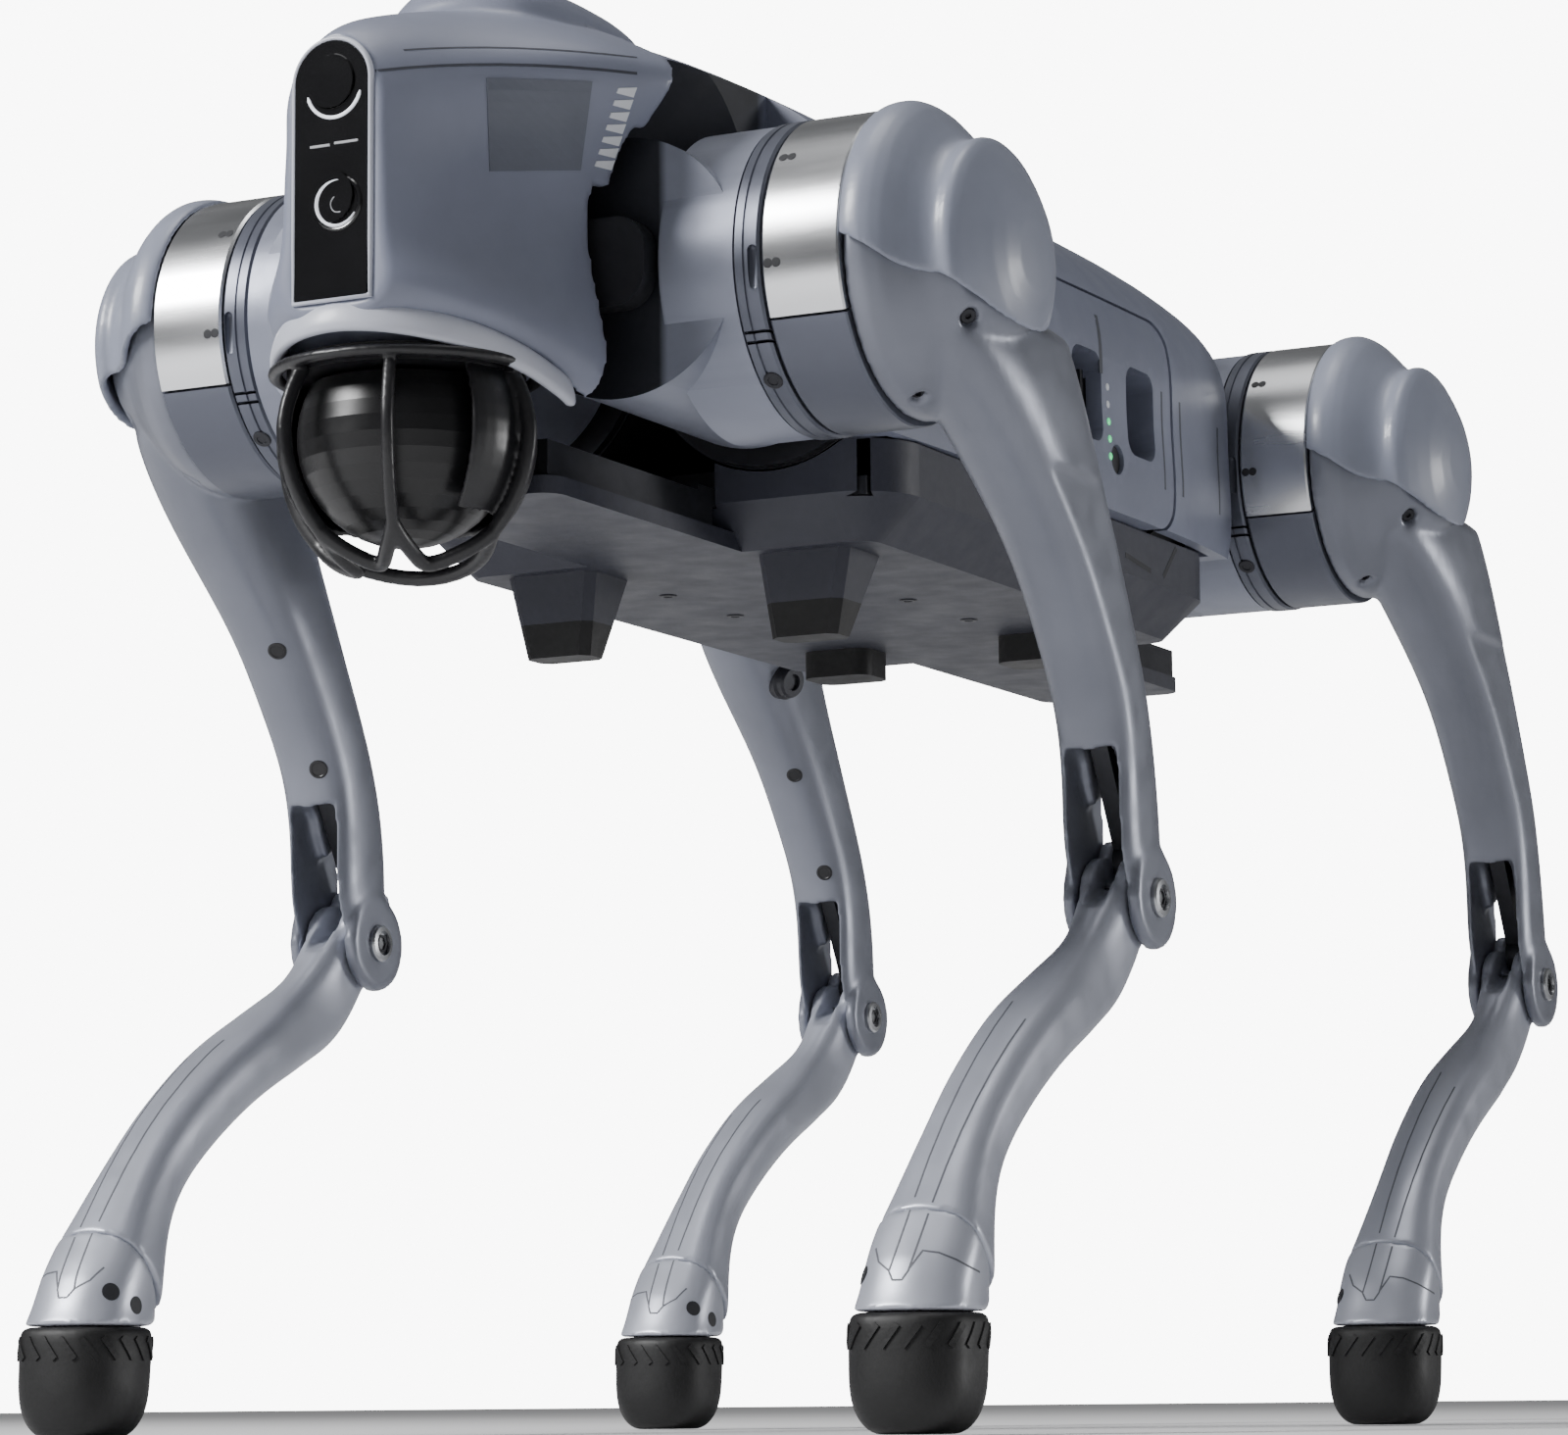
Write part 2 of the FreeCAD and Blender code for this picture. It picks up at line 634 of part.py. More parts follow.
def make_thigh_fasteners():
    pin = rod_x(PIN_R, (KNEE_X[0] - 2, KNEE_X[1] + 2), KNEE_Y, KNEE_Z)
    ends = ((KNEE_X[1] + 0.1, KNEE_X[1] + 3), (KNEE_X[0] - 3, KNEE_X[0] - 0.1))
    heads = [rod_x(8.0, xs, KNEE_Y, KNEE_Z) for xs in ends]
    return fuse([pin] + heads)


def calf_loft():
    stations = [
        (6, 0, 13.5, 8.4), (24, -1.5, 14.4, 8.4), (40, 0, 14.4, 8.4), (53, 4, 13.8, 9.9),
        (68, 8.8, 13, 11.6), (87, 14.5, 12.4, 12.2), (104, 18, 12, 12), (122, 20.3, 11.6, 11.8),
        (141, 20.8, 11.5, 11.7), (156, 18.8, 12.6, 12.6), (168, 15.2, 14.8, 14.2), (182, 10.2, 17.8, 16.8),
    ]
    wires = []
    for s, offset, deep, wide in stations:
        wires.append(oval_wire(calf_point(s, offset, LEG_X), X_AXIS, CALF_FRONT, wide, deep, 2.8))
    return loft(wires)


def rod_fan():
    """Space the push rod sweeps as seen from the calf."""
    pin_y, pin_z = link_pin(KNEE_Y, KNEE_Z)

    def at(angle, along, aside):
        a = math.radians(angle)
        forward = along * math.cos(a) - aside * math.sin(a)
        up = along * math.sin(a) + aside * math.cos(a)
        return vec(CALF_SLOT_X[0], pin_y - forward, pin_z + up)

    corners = [at(-20, 0, -5), at(-20, 90, -5), at(34, 120, 0), at(89, 90, 5), at(89, 0, 5)]
    width = CALF_SLOT_X[1] - CALF_SLOT_X[0]
    eye = rod_x(8.0, CALF_SLOT_X, pin_y, pin_z)
    return [prism(corners, X_AXIS, width), eye]


def make_calf():
    pin_y, pin_z = link_pin(KNEE_Y, KNEE_Z)
    knuckle = rod_x(14.0, CALF_X, KNEE_Y, KNEE_Z)
    eye = rod_x(7.0, CALF_X, pin_y, pin_z)
    side = vec(0, -(pin_z - KNEE_Z), pin_y - KNEE_Y).normalize() * 7.0
    foot_of = vec(CALF_X[0], KNEE_Y, KNEE_Z)
    tip = vec(CALF_X[0], pin_y, pin_z)
    lever = prism([foot_of + side, foot_of - side, tip - side, tip + side], X_AXIS, CALF_X[1] - CALF_X[0])
    calf = fuse([knuckle, eye, lever, calf_loft()])
    beside = [rod_x(36.0, xs, KNEE_Y, KNEE_Z) for xs in ((110, CALF_X[0]), (CALF_X[1], 180))]
    calf = cut(calf, rod_fan() + beside)
    calf = fuse([calf, rod_x(3.8, CALF_X, pin_y, pin_z)])
    return largest(calf.cut(rod_x(PIN_BORE_R, (100, 180), KNEE_Y, KNEE_Z)))


def make_foot_cuff():
    top = oval_wire(calf_point(182.2, 10.2, LEG_X), X_AXIS, CALF_FRONT, 17.0, 18.0, 2.8)
    tilt = vec(0, -math.cos(calf_angle / 2), math.sin(calf_angle / 2))
    mid = oval_wire(calf_point(192, 6.8, LEG_X), X_AXIS, tilt, 18.8, 19.4, 2.7)
    low = oval_wire(vec(LEG_X, FOOT_Y + 5.5, FOOT_Z + 13.2), X_AXIS, Y_AXIS * -1, 20.2, 20.6, 2.6)
    return loft([top, mid, low], True)


def make_foot_boot():
    levels = [(-22.0, 12.5), (-20.0, 16.0), (-14.0, 19.8), (-4.0, 21.2), (6.0, 21.4), (13.0, 20.8)]
    wires = []
    for z, r in levels:
        centre = vec(LEG_X, FOOT_Y + 4.5 + 0.06 * z, FOOT_Z + z)
        wires.append(oval_wire(centre, X_AXIS, Y_AXIS * -1, r, r + 0.4, 2.6))
    return loft(wires)


# --- everything in its place ----------------------------------------------------------
def place(shape):
    placed = shape.copy()
    placed.translate(vec(0, LENGTH_SHIFT, HIP_HEIGHT))
    return placed


def leg_copy(shape, side, end):
    """Front left piece moved to the leg at the given side and end."""
    moved = shape.copy()
    if side == "r":
        moved = mirror_x(moved)
    moved.translate(vec(0, -HIP_Y if end == "f" else HIP_Y, 0))
    return moved


def trunk_nodes():
    return {
        "chassis": make_chassis(),
        "abduction_motors": make_abduction_motors(),
        "computer_board": make_computer_board(),
        "head_shell": fuse([make_head_shell()]),
        "face_panel": make_face_panel(),
        "face_optics": make_face_optics(),
        "lidar_guard": make_lidar_guard(),
        "lidar_base": make_lidar_base(),
        "lidar_dome": make_lidar_dome(),
        "back_shell": make_back_shell(),
        "belly_cover": make_belly_cover(),
        "belly_pads": make_belly_pads(),
        "battery": make_battery(),
        "battery_latch_front": make_latch(SLOT_YS[0], 1),
        "battery_latch_rear": make_latch(SLOT_YS[1], -1),
        "power_button": make_power_button(),
    }


def leg_nodes():
    return {
        "hip_housing": make_hip_housing(),
        "hip_motor": make_hip_motor(),
        "knee_motor": make_knee_motor(),
        "thigh_frame": make_thigh_frame(),
        "thigh_cap": make_thigh_cap(),
        "thigh_fasteners": make_thigh_fasteners(),
        "crank": make_crank(),
        "push_rod": make_push_rod(),
        "calf": make_calf(),
        "foot_cuff": make_foot_cuff(),
        "foot_boot": make_foot_boot(),
    }


def main():
    os.makedirs("parts", exist_ok=True)
    nodes = dict(trunk_nodes())
    for name, shape in leg_nodes().items():
        for end in "fr":
            for side in "lr":
                nodes["%s_%s%s" % (name, end, side)] = leg_copy(shape, side, end)
    for name, shape in nodes.items():
        placed = place(shape)
        placed.exportStep("parts/%s.step" % name)
        print(name, len(placed.Solids), round(placed.Volume / 1000.0, 1), placed.isValid())


main()
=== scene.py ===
import json
import math

import bmesh
import bpy
from mathutils import Matrix, Vector
from mathutils.bvhtree import BVHTree


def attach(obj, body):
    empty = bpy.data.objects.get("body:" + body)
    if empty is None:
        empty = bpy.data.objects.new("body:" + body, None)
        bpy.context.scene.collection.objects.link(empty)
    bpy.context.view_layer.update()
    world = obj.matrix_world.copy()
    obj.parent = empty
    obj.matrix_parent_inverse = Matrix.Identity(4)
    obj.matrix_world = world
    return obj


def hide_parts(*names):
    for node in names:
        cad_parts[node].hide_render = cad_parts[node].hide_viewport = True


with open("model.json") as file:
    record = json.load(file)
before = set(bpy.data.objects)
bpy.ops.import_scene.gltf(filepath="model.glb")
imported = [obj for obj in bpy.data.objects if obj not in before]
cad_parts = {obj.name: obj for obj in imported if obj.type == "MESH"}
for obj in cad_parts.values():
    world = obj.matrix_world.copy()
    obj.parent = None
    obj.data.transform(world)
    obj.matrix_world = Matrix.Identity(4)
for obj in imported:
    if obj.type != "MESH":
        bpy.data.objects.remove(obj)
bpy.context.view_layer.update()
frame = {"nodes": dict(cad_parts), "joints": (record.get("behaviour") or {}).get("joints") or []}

# Looks of the quadruped robot dog.  Sizes below are millimetres in the robot's own axes:
# X to its left, Y to its rear, Z up from the hip axes, with Y = 0 at the trunk's centre.
MM = 0.001
JOINTS = {joint["name"]: joint for joint in frame["joints"]}
FRONT_HIP = Vector(JOINTS["thigh_fl"]["pos_m"])
REAR_HIP = Vector(JOINTS["thigh_rl"]["pos_m"])
KNEE = (Vector(JOINTS["knee_fl"]["pos_m"]) - FRONT_HIP) / MM
ORIGIN = Vector((0, (FRONT_HIP.y + REAR_HIP.y) / 2, FRONT_HIP.z))
HIP_Y = (REAR_HIP.y - FRONT_HIP.y) / 2 / MM
LEG_X = FRONT_HIP.x / MM
LEGS = ("fl", "fr", "rl", "rr")
THIGH_LEAN = math.radians(29.0)
SHIN_LEAN = math.radians(47.2)
FOOT_Y = -50.0

TRUNK_SPACE = Matrix.Translation(ORIGIN) @ Matrix.Diagonal((MM, MM, MM, 1))


def leg_space(leg):
    """Maps front left leg coordinates, with the hip axis at Y = 0, onto a leg."""
    side = 1 if leg[1] == "l" else -1
    end = -HIP_Y if leg[0] == "f" else HIP_Y
    return TRUNK_SPACE @ Matrix.Translation((0, end, 0)) @ Matrix.Diagonal((side, 1, 1, 1))


# --- mesh helpers ---
def add_object(name, mesh):
    piece = bpy.data.objects.new(name, mesh)
    bpy.context.scene.collection.objects.link(piece)
    return piece


def mesh_object(name, points, faces, space):
    """Object from points in millimetres; faces turn round when the space mirrors."""
    mesh = bpy.data.meshes.new(name)
    if space.determinant() < 0:
        faces = [tuple(reversed(face)) for face in faces]
    mesh.from_pydata([space @ Vector(p) for p in points], [], faces)
    mesh.update()
    return add_object(name, mesh)


def bake_modifiers(piece):
    """Replaces a piece's mesh with the result of its modifiers."""
    graph = bpy.context.evaluated_depsgraph_get()
    made = bpy.data.meshes.new_from_object(piece.evaluated_get(graph))
    old = piece.data
    piece.modifiers.clear()
    piece.data = made
    bpy.data.meshes.remove(old)
    return piece


def shade(piece, degrees=35):
    """Smooth shading that keeps corners sharper than the angle."""
    mesh = piece.data
    mesh.shade_smooth()
    made = bmesh.new()
    made.from_mesh(mesh)
    limit = math.radians(degrees)
    for edge in made.edges:
        edge.smooth = len(edge.link_faces) == 2 and edge.calc_face_angle(0) < limit
    made.to_mesh(mesh)
    made.free()
    return piece


def oval(centre, u, v, half_u, half_v, power=2.0, count=32):
    """Closed superellipse round a centre in the plane of u and v."""
    points = []
    for i in range(count):
        angle = 2 * math.pi * i / count
        c, s = math.cos(angle), math.sin(angle)
        cu = math.copysign(abs(c) ** (2 / power), c) * half_u
        cv = math.copysign(abs(s) ** (2 / power), s) * half_v
        points.append(Vector(centre) + Vector(u) * cu + Vector(v) * cv)
    return points


def loft(name, rings, space, closed=False):
    """Skin over rings of equally many points, with flat ends unless the loft closes."""
    count = len(rings[0])
    points = [p for ring in rings for p in ring]
    faces = []
    spans = len(rings) if closed else len(rings) - 1
    for r in range(spans):
        a, b = r * count, ((r + 1) % len(rings)) * count
        for i in range(count):
            j = (i + 1) % count
            faces.append((a + i, a + j, b + j, b + i))
    if not closed:
        faces.append(tuple(reversed(range(count))))
        last = (len(rings) - 1) * count
        faces.append(tuple(range(last, last + count)))
    piece = mesh_object(name, points, faces, space)
    face_outwards(piece)
    return piece


def face_outwards(piece):
    made = bmesh.new()
    made.from_mesh(piece.data)
    bmesh.ops.recalc_face_normals(made, faces=made.faces)
    made.to_mesh(piece.data)
    made.free()


def frame_at(direction):
    """Two directions square to the given one."""
    d = Vector(direction).normalized()
    up = Vector((0, 0, 1)) if abs(d.z) < 0.9 else Vector((0, 1, 0))
    u = d.cross(up).normalized()
    return u, d.cross(u).normalized()


def tube(name, path, radius, space, closed=False, count=12, flat=1.0):
    """Round bar along a path; flat below 1 thins it."""
    path = [Vector(p) for p in path]
    rings = []
    u = None
    for i, point in enumerate(path):
        before = path[i - 1] if (i or closed) else point
        after = path[(i + 1) % len(path)] if (closed or i + 1 < len(path)) else point
        along = (after - before).normalized()
        if u is None:
            u, v = frame_at(along)
        else:
            u = (u - along * u.dot(along)).normalized()
            v = along.cross(u)
        r = radius[i] if isinstance(radius, (list, tuple)) else radius
        rings.append(oval(point, u, v, r, r * flat, 2.0, count))
    return loft(name, rings, space, closed)


def turned(name, profile, origin, axis, space, count=48):
    """Solid turned round an axis from (along, radius) pairs."""
    axis = Vector(axis).normalized()
    u, v = frame_at(axis)
    rings = []
    for along, radius in profile:
        centre = Vector(origin) + axis * along
        rings.append(oval(centre, u, v, max(radius, 0.02), max(radius, 0.02), 2.0, count))
    return loft(name, rings, space)


def block(name, low, high, space, edge=0.0, segments=3):
    """Box between two corners with all edges rounded."""
    xs, ys, zs = zip(low, high)
    points = [(x, y, z) for x in xs for y in ys for z in zs]
    faces = [(0, 1, 3, 2), (4, 6, 7, 5), (0, 4, 5, 1), (2, 3, 7, 6), (0, 2, 6, 4), (1, 5, 7, 3)]
    piece = mesh_object(name, points, faces, space)
    face_outwards(piece)
    if edge:
        round_edges(piece, edge, segments)
    return piece


def round_edges(piece, width, segments=3, degrees=30):
    bevel = piece.modifiers.new("round", "BEVEL")
    bevel.width = width * MM
    bevel.segments = segments
    bevel.limit_method = "ANGLE"
    bevel.angle_limit = math.radians(degrees)
    bevel.harden_normals = False
    return bake_modifiers(piece)


def join(name, pieces):
    """One object from several, keeping their materials."""
    made = bmesh.new()
    materials = []
    for piece in pieces:
        first = len(made.faces)
        made.from_mesh(piece.data)
        made.faces.ensure_lookup_table()
        slots = list(piece.data.materials)
        for face in made.faces[first:]:
            own = slots[face.material_index] if slots else None
            if own not in materials:
                materials.append(own)
            face.material_index = materials.index(own)
    mesh = bpy.data.meshes.new(name)
    made.to_mesh(mesh)
    made.free()
    for material in materials:
        mesh.materials.append(material)
    for piece in pieces:
        remove(piece)
    return add_object(name, mesh)


def remove(piece):
    mesh = piece.data
    bpy.data.objects.remove(piece)
    if not mesh.users:
        bpy.data.meshes.remove(mesh)


def boolean(piece, tool, operation):
    modifier = piece.modifiers.new("cut", "BOOLEAN")
    modifier.operation = operation
    modifier.object = tool
    modifier.solver = "EXACT"
    bake_modifiers(piece)
    remove(tool)
    return piece


def cad_copy(name, node):
    """Copy of a CAD node's mesh with its seams welded."""
    made = bmesh.new()
    made.from_mesh(frame["nodes"][node].data)
    bmesh.ops.remove_doubles(made, verts=made.verts, dist=0.002 * MM)
    mesh = bpy.data.meshes.new(name)
    made.to_mesh(mesh)
    made.free()
    return add_object(name, mesh)


def soften(piece, voxel, smooth):
    """Melts corners round: remeshed to small even faces and relaxed."""
    remesh = piece.modifiers.new("remesh", "REMESH")
    remesh.mode = "VOXEL"
    remesh.voxel_size = voxel * MM
    relax = piece.modifiers.new("relax", "SMOOTH")
    relax.factor = 0.5
    relax.iterations = smooth
    bake_modifiers(piece)
    piece.data.shade_smooth()
    return piece


class Surface:
    """Finds points on the skin of a piece, for lines and fittings that lie on it."""

    def __init__(self, piece, space):
        graph = bpy.context.evaluated_depsgraph_get()
        self.tree = BVHTree.FromObject(piece, graph)
        self.space = space
        self.back = space.inverted()

    def hit(self, start, direction):
        origin = self.space @ Vector(start)
        ray = (self.space.to_3x3() @ Vector(direction)).normalized()
        point, normal, _, _ = self.tree.ray_cast(origin, ray)
        if point is None:
            return None
        local = (self.space.to_3x3().transposed() @ normal).normalized()
        return self.back @ point, local


# --- materials ---
def new_material(name):
    material = bpy.data.materials.new(name)
    material.use_nodes = True
    nodes = material.node_tree.nodes
    shader = nodes["Principled BSDF"]
    return material, nodes, material.node_tree.links, shader


def noise(nodes, links, scale, detail, stretch=(1, 1, 1)):
    """Noise in the object's own coordinates, in metres."""
    place = nodes.new("ShaderNodeTexCoord")
    shape = nodes.new("ShaderNodeMapping")
    shape.inputs["Scale"].default_value = stretch
    texture = nodes.new("ShaderNodeTexNoise")
    texture.inputs["Scale"].default_value = scale
    texture.inputs["Detail"].default_value = detail
    links.new(place.outputs["Object"], shape.inputs["Vector"])
    links.new(shape.outputs["Vector"], texture.inputs["Vector"])
    return texture.outputs["Fac"]


def between(nodes, links, value, low, high, start=0.3, stop=0.7):
    """Value mapped onto a number range."""
    remap = nodes.new("ShaderNodeMapRange")
    remap.inputs["From Min"].default_value = start
    remap.inputs["From Max"].default_value = stop
    remap.inputs["To Min"].default_value = low
    remap.inputs["To Max"].default_value = high
    links.new(value, remap.inputs["Value"])
    return remap.outputs["Result"]


def two_tone(nodes, links, value, first, second):
    """A colour or linked tone that gives way to a plain colour where the value is one."""
    mix = nodes.new("ShaderNodeMix")
    mix.data_type = "RGBA"
    if isinstance(first, tuple):
        mix.inputs["A"].default_value = (*first, 1)
    else:
        links.new(first, mix.inputs["A"])
    mix.inputs["B"].default_value = (*second, 1)
    links.new(value, mix.inputs["Factor"])
    return mix.outputs["Result"]


def bump(nodes, links, value, strength, distance):
    node = nodes.new("ShaderNodeBump")
    node.inputs["Strength"].default_value = strength
    node.inputs["Distance"].default_value = distance
    links.new(value, node.inputs["Height"])
    return node.outputs["Normal"]


def edge_wear(nodes, links, amount):
    """Lighter along worn corners."""
    geometry = nodes.new("ShaderNodeNewGeometry")
    return between(nodes, links, geometry.outputs["Pointiness"], 0.0, amount, 0.52, 0.60)


def coating(name, color, spread=0.05, rough=0.42, rough_spread=0.05, grain=0.10, grain_depth=0.00006,
            metallic=0.0, coat=0.0, stretch=(1, 1, 1), grain_scale=900.0, wear=0.0):
    """Moulded, painted or machined surface: mottled colour, uneven gloss and fine grain."""
    mottle_scale = 28.0
    material, nodes, links, shader = new_material(name)
    dark = tuple(c * (1 - spread) for c in color)
    light = tuple(min(c * (1 + spread), 1.0) for c in color)
    broad = noise(nodes, links, mottle_scale, 4.0, stretch)
    tone = two_tone(nodes, links, between(nodes, links, broad, 0.0, 1.0), dark, light)
    if wear:
        worn = [min(c * 1.6 + 0.02, 1.0) for c in color]
        tone = two_tone(nodes, links, edge_wear(nodes, links, wear), tone, worn)
    links.new(tone, shader.inputs["Base Color"])
    patch = noise(nodes, links, mottle_scale * 2.7, 5.0, stretch)
    gloss = between(nodes, links, patch, rough - rough_spread, rough + rough_spread)
    links.new(gloss, shader.inputs["Roughness"])
    fine = noise(nodes, links, grain_scale, 3.0, stretch)
    links.new(bump(nodes, links, fine, grain, grain_depth), shader.inputs["Normal"])
    shader.inputs["Metallic"].default_value = metallic
    shader.inputs["Coat Weight"].default_value = coat
    shader.inputs["Coat Roughness"].default_value = 0.12
    return material


def glow_material(name, color, strength):
    """Glowing colour behind a frosted window: the charge lamps, the light arc, and a painted highlight on
    the face lamp.
    """
    material, nodes, links, shader = new_material(name)
    cloud = noise(nodes, links, 700.0, 2.0)
    dim = tuple(c * 0.8 for c in color)
    tone = two_tone(nodes, links, between(nodes, links, cloud, 0.0, 1.0), dim, color)
    links.new(tone, shader.inputs["Base Color"])
    links.new(tone, shader.inputs["Emission Color"])
    shader.inputs["Emission Strength"].default_value = strength
    shader.inputs["Roughness"].default_value = 0.3
    return material


# Painted light: the head's grey is the shell's grey made lighter, standing in for light falling on the
# head.
HEAD_GREY_PAINTED_LIGHTER = coating("shell_grey_painted_lighter_on_head", (0.215, 0.232, 0.305), coat=0.10, wear=0.25)
GREY_SHELL = coating("satin_grey_shell", (0.175, 0.190, 0.255), coat=0.10, wear=0.25)
CAP_GREY = coating("satin_grey_cap", (0.26, 0.28, 0.35), rough=0.38, coat=0.12, wear=0.25)
HIP_GREY = coating("cast_grey_hip", (0.225, 0.24, 0.30), spread=0.06, rough=0.40,
                   rough_spread=0.06, grain=0.14, grain_depth=0.00008, metallic=0.35, wear=0.25)
THIGH_METAL = coating("thigh_aluminium_paint", (0.22, 0.232, 0.278), spread=0.06, rough=0.36,
                      rough_spread=0.06, grain=0.14, grain_depth=0.00007, metallic=0.4, wear=0.3)
LEG_METAL = coating("leg_aluminium_paint", (0.42, 0.44, 0.51), rough=0.36, rough_spread=0.06,
                    grain=0.14, grain_depth=0.00007, metallic=0.35, wear=0.3)
RING_METAL = coating("ring_aluminium", (0.11, 0.118, 0.15), rough=0.36, grain=0.12,
                     metallic=0.55, wear=0.3)
BAND_METAL = coating("bright_band", (0.80, 0.81, 0.83), spread=0.04, rough=0.24, grain=0.12,
                     grain_depth=0.00004, metallic=1.0, stretch=(0.15, 1, 1), grain_scale=1600.0)
DARK_METAL = coating("dark_anodised", (0.035, 0.036, 0.042), spread=0.12, rough_spread=0.08,
                     grain=0.15, metallic=0.6)
BELLY = coating("belly_plastic", (0.030, 0.032, 0.046), spread=0.08, rough=0.50,
                rough_spread=0.07, grain=0.25, grain_depth=0.00012, wear=0.2)
BLACK = coating("black_plastic", (0.010, 0.010, 0.012), spread=0.15, rough=0.38,
                rough_spread=0.08, grain=0.12, coat=0.1)
GLOSS = coating("black_gloss", (0.004, 0.004, 0.005), spread=0.10, rough=0.10, rough_spread=0.03,
                grain=0.02, grain_depth=0.00001, coat=0.6)
SCANNER = coating("scanner_window", (0.006, 0.006, 0.007), spread=0.15, rough=0.32, grain=0.03,
                  grain_depth=0.00002)
RUBBER = coating("boot_rubber", (0.0045, 0.0045, 0.005), spread=0.20, rough=0.55,
                 rough_spread=0.08, grain=0.35, grain_depth=0.00018, grain_scale=520.0)
SEAM = coating("dark_seam", (0.018, 0.019, 0.023), spread=0.10, rough=0.60, grain_depth=0.00005)
SHELL_SEAM = coating("shell_seam", (0.055, 0.060, 0.078), spread=0.10, rough=0.55,
                     grain_depth=0.00005)
LEG_SEAM = coating("leg_seam", (0.10, 0.105, 0.125), spread=0.10, rough=0.55, grain_depth=0.00005)
BROW_GREY = coating("brow_grey", (0.56, 0.58, 0.66), spread=0.04, rough=0.36, grain=0.08,
                    grain_depth=0.00005, coat=0.1)
PATCH_GREY = coating("patch_grey", (0.13, 0.142, 0.178), rough=0.45)
CUFF_METAL = coating("cuff_aluminium", (0.46, 0.48, 0.55), rough=0.34, grain=0.12, metallic=0.35,
                     wear=0.3)
# Printed white for the face dashes, and a painted glint on the lamp.
PRINT_AND_GLINT_WHITE = coating("printed_dash_and_painted_glint", (0.42, 0.43, 0.45), spread=0.15, rough=0.50,
                     grain_depth=0.00003)
STEEL = coating("screw_steel", (0.50, 0.51, 0.53), spread=0.06, rough=0.28, rough_spread=0.06,
                grain_depth=0.00003, metallic=1.0)
WHITE_MARK = coating("printed_white", (0.72, 0.74, 0.78), spread=0.04, rough=0.50,
                     grain_depth=0.00003)
CIRCUIT = coating("board_green", (0.02, 0.05, 0.035), spread=0.15, rough=0.50, rough_spread=0.08,
                  grain=0.2, grain_depth=0.0001)
GREEN_GLOW = glow_material("charge_green", (0.05, 0.75, 0.25), 1.2)
# Glowing white: the light arc under the lens, and a painted highlight for the lamp's crescent.
GLOW_WHITE_AND_HIGHLIGHT = glow_material("glow_white_and_painted_highlight", (0.85, 0.88, 0.95), 1.0)


def dress(piece, material):
    piece.data.materials.clear()
    piece.data.materials.append(material)
    return piece


def fit(piece, body):
    """Finished piece rides on a body."""
    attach(piece, body)
    return piece


def paint_node(node, material):
    target = frame["nodes"][node]
    target.data.materials.clear()
    target.data.materials.append(material)


# --- CAD nodes that keep their shape ---
NODE_FINISH = {
    "chassis": DARK_METAL, "abduction_motors": DARK_METAL, "computer_board": CIRCUIT,
    "head_shell": GREY_SHELL, "face_panel": GLOSS, "face_optics": GLOSS, "lidar_guard": BLACK,
    "lidar_base": BLACK, "lidar_dome": SCANNER, "back_shell": GREY_SHELL, "belly_cover": BELLY,
    "belly_pads": RUBBER, "battery": GREY_SHELL, "battery_latch_front": BLACK,
    "battery_latch_rear": BLACK, "power_button": BLACK,
}
LEG_FINISH = {
    "hip_housing": HIP_GREY, "hip_motor": RING_METAL, "knee_motor": BAND_METAL,
    "thigh_frame": THIGH_METAL, "thigh_cap": CAP_GREY, "thigh_fasteners": STEEL, "crank": DARK_METAL,
    "push_rod": DARK_METAL, "calf": LEG_METAL, "foot_cuff": LEG_METAL, "foot_boot": RUBBER,
}


# Painted shade: this dark colour is laid on the back shell's sides by the neck and on the front hip
# housings' inner faces, where shade falls.
SHADOW = (0.022, 0.024, 0.031)
NECK_SHADE = (("place", "Y", -0.138, -0.132), ("normal", "Z", 0.72, 0.80))
HIP_FACE_SHADE = (("place", "Y", -0.215, -0.210), ("place", "X", 0.060, 0.063), ("normal", "Y", -0.80, -0.70))


def multiply(nodes, links, first, second):
    product = nodes.new("ShaderNodeMath")
    product.operation = "MULTIPLY"
    links.new(first, product.inputs[0])
    links.new(second, product.inputs[1])
    return product.outputs[0]


def coordinate(nodes, links, source, axis):
    """One coordinate of a vector; X is taken without its sign, for both sides alike."""
    split = nodes.new("ShaderNodeSeparateXYZ")
    links.new(source, split.inputs[0])
    if axis != "X":
        return split.outputs[axis]
    size = nodes.new("ShaderNodeMath")
    size.operation = "ABSOLUTE"
    links.new(split.outputs["X"], size.inputs[0])
    return size.outputs[0]


def paint_shade_where(material, name, tests):
    """Copy of a finish with painted shade where every test's coordinate is below its start.

    A test is (place or normal, axis, start, end), and the painted shade fades out from start to end.
    """
    dark = material.copy()
    dark.name = name
    nodes, links = dark.node_tree.nodes, dark.node_tree.links
    shader = nodes["Principled BSDF"]
    tone = shader.inputs["Base Color"].links[0].from_socket
    sources = {
        "place": nodes.new("ShaderNodeTexCoord").outputs["Object"],
        "normal": nodes.new("ShaderNodeNewGeometry").outputs["Normal"],
    }
    masks = []
    for source, axis, start, end in tests:
        value = coordinate(nodes, links, sources[source], axis)
        masks.append(between(nodes, links, value, 1.0, 0.0, start, end))
    total = masks[0]
    for mask in masks[1:]:
        total = multiply(nodes, links, total, mask)
    links.new(two_tone(nodes, links, total, tone, SHADOW), shader.inputs["Base Color"])
    return dark


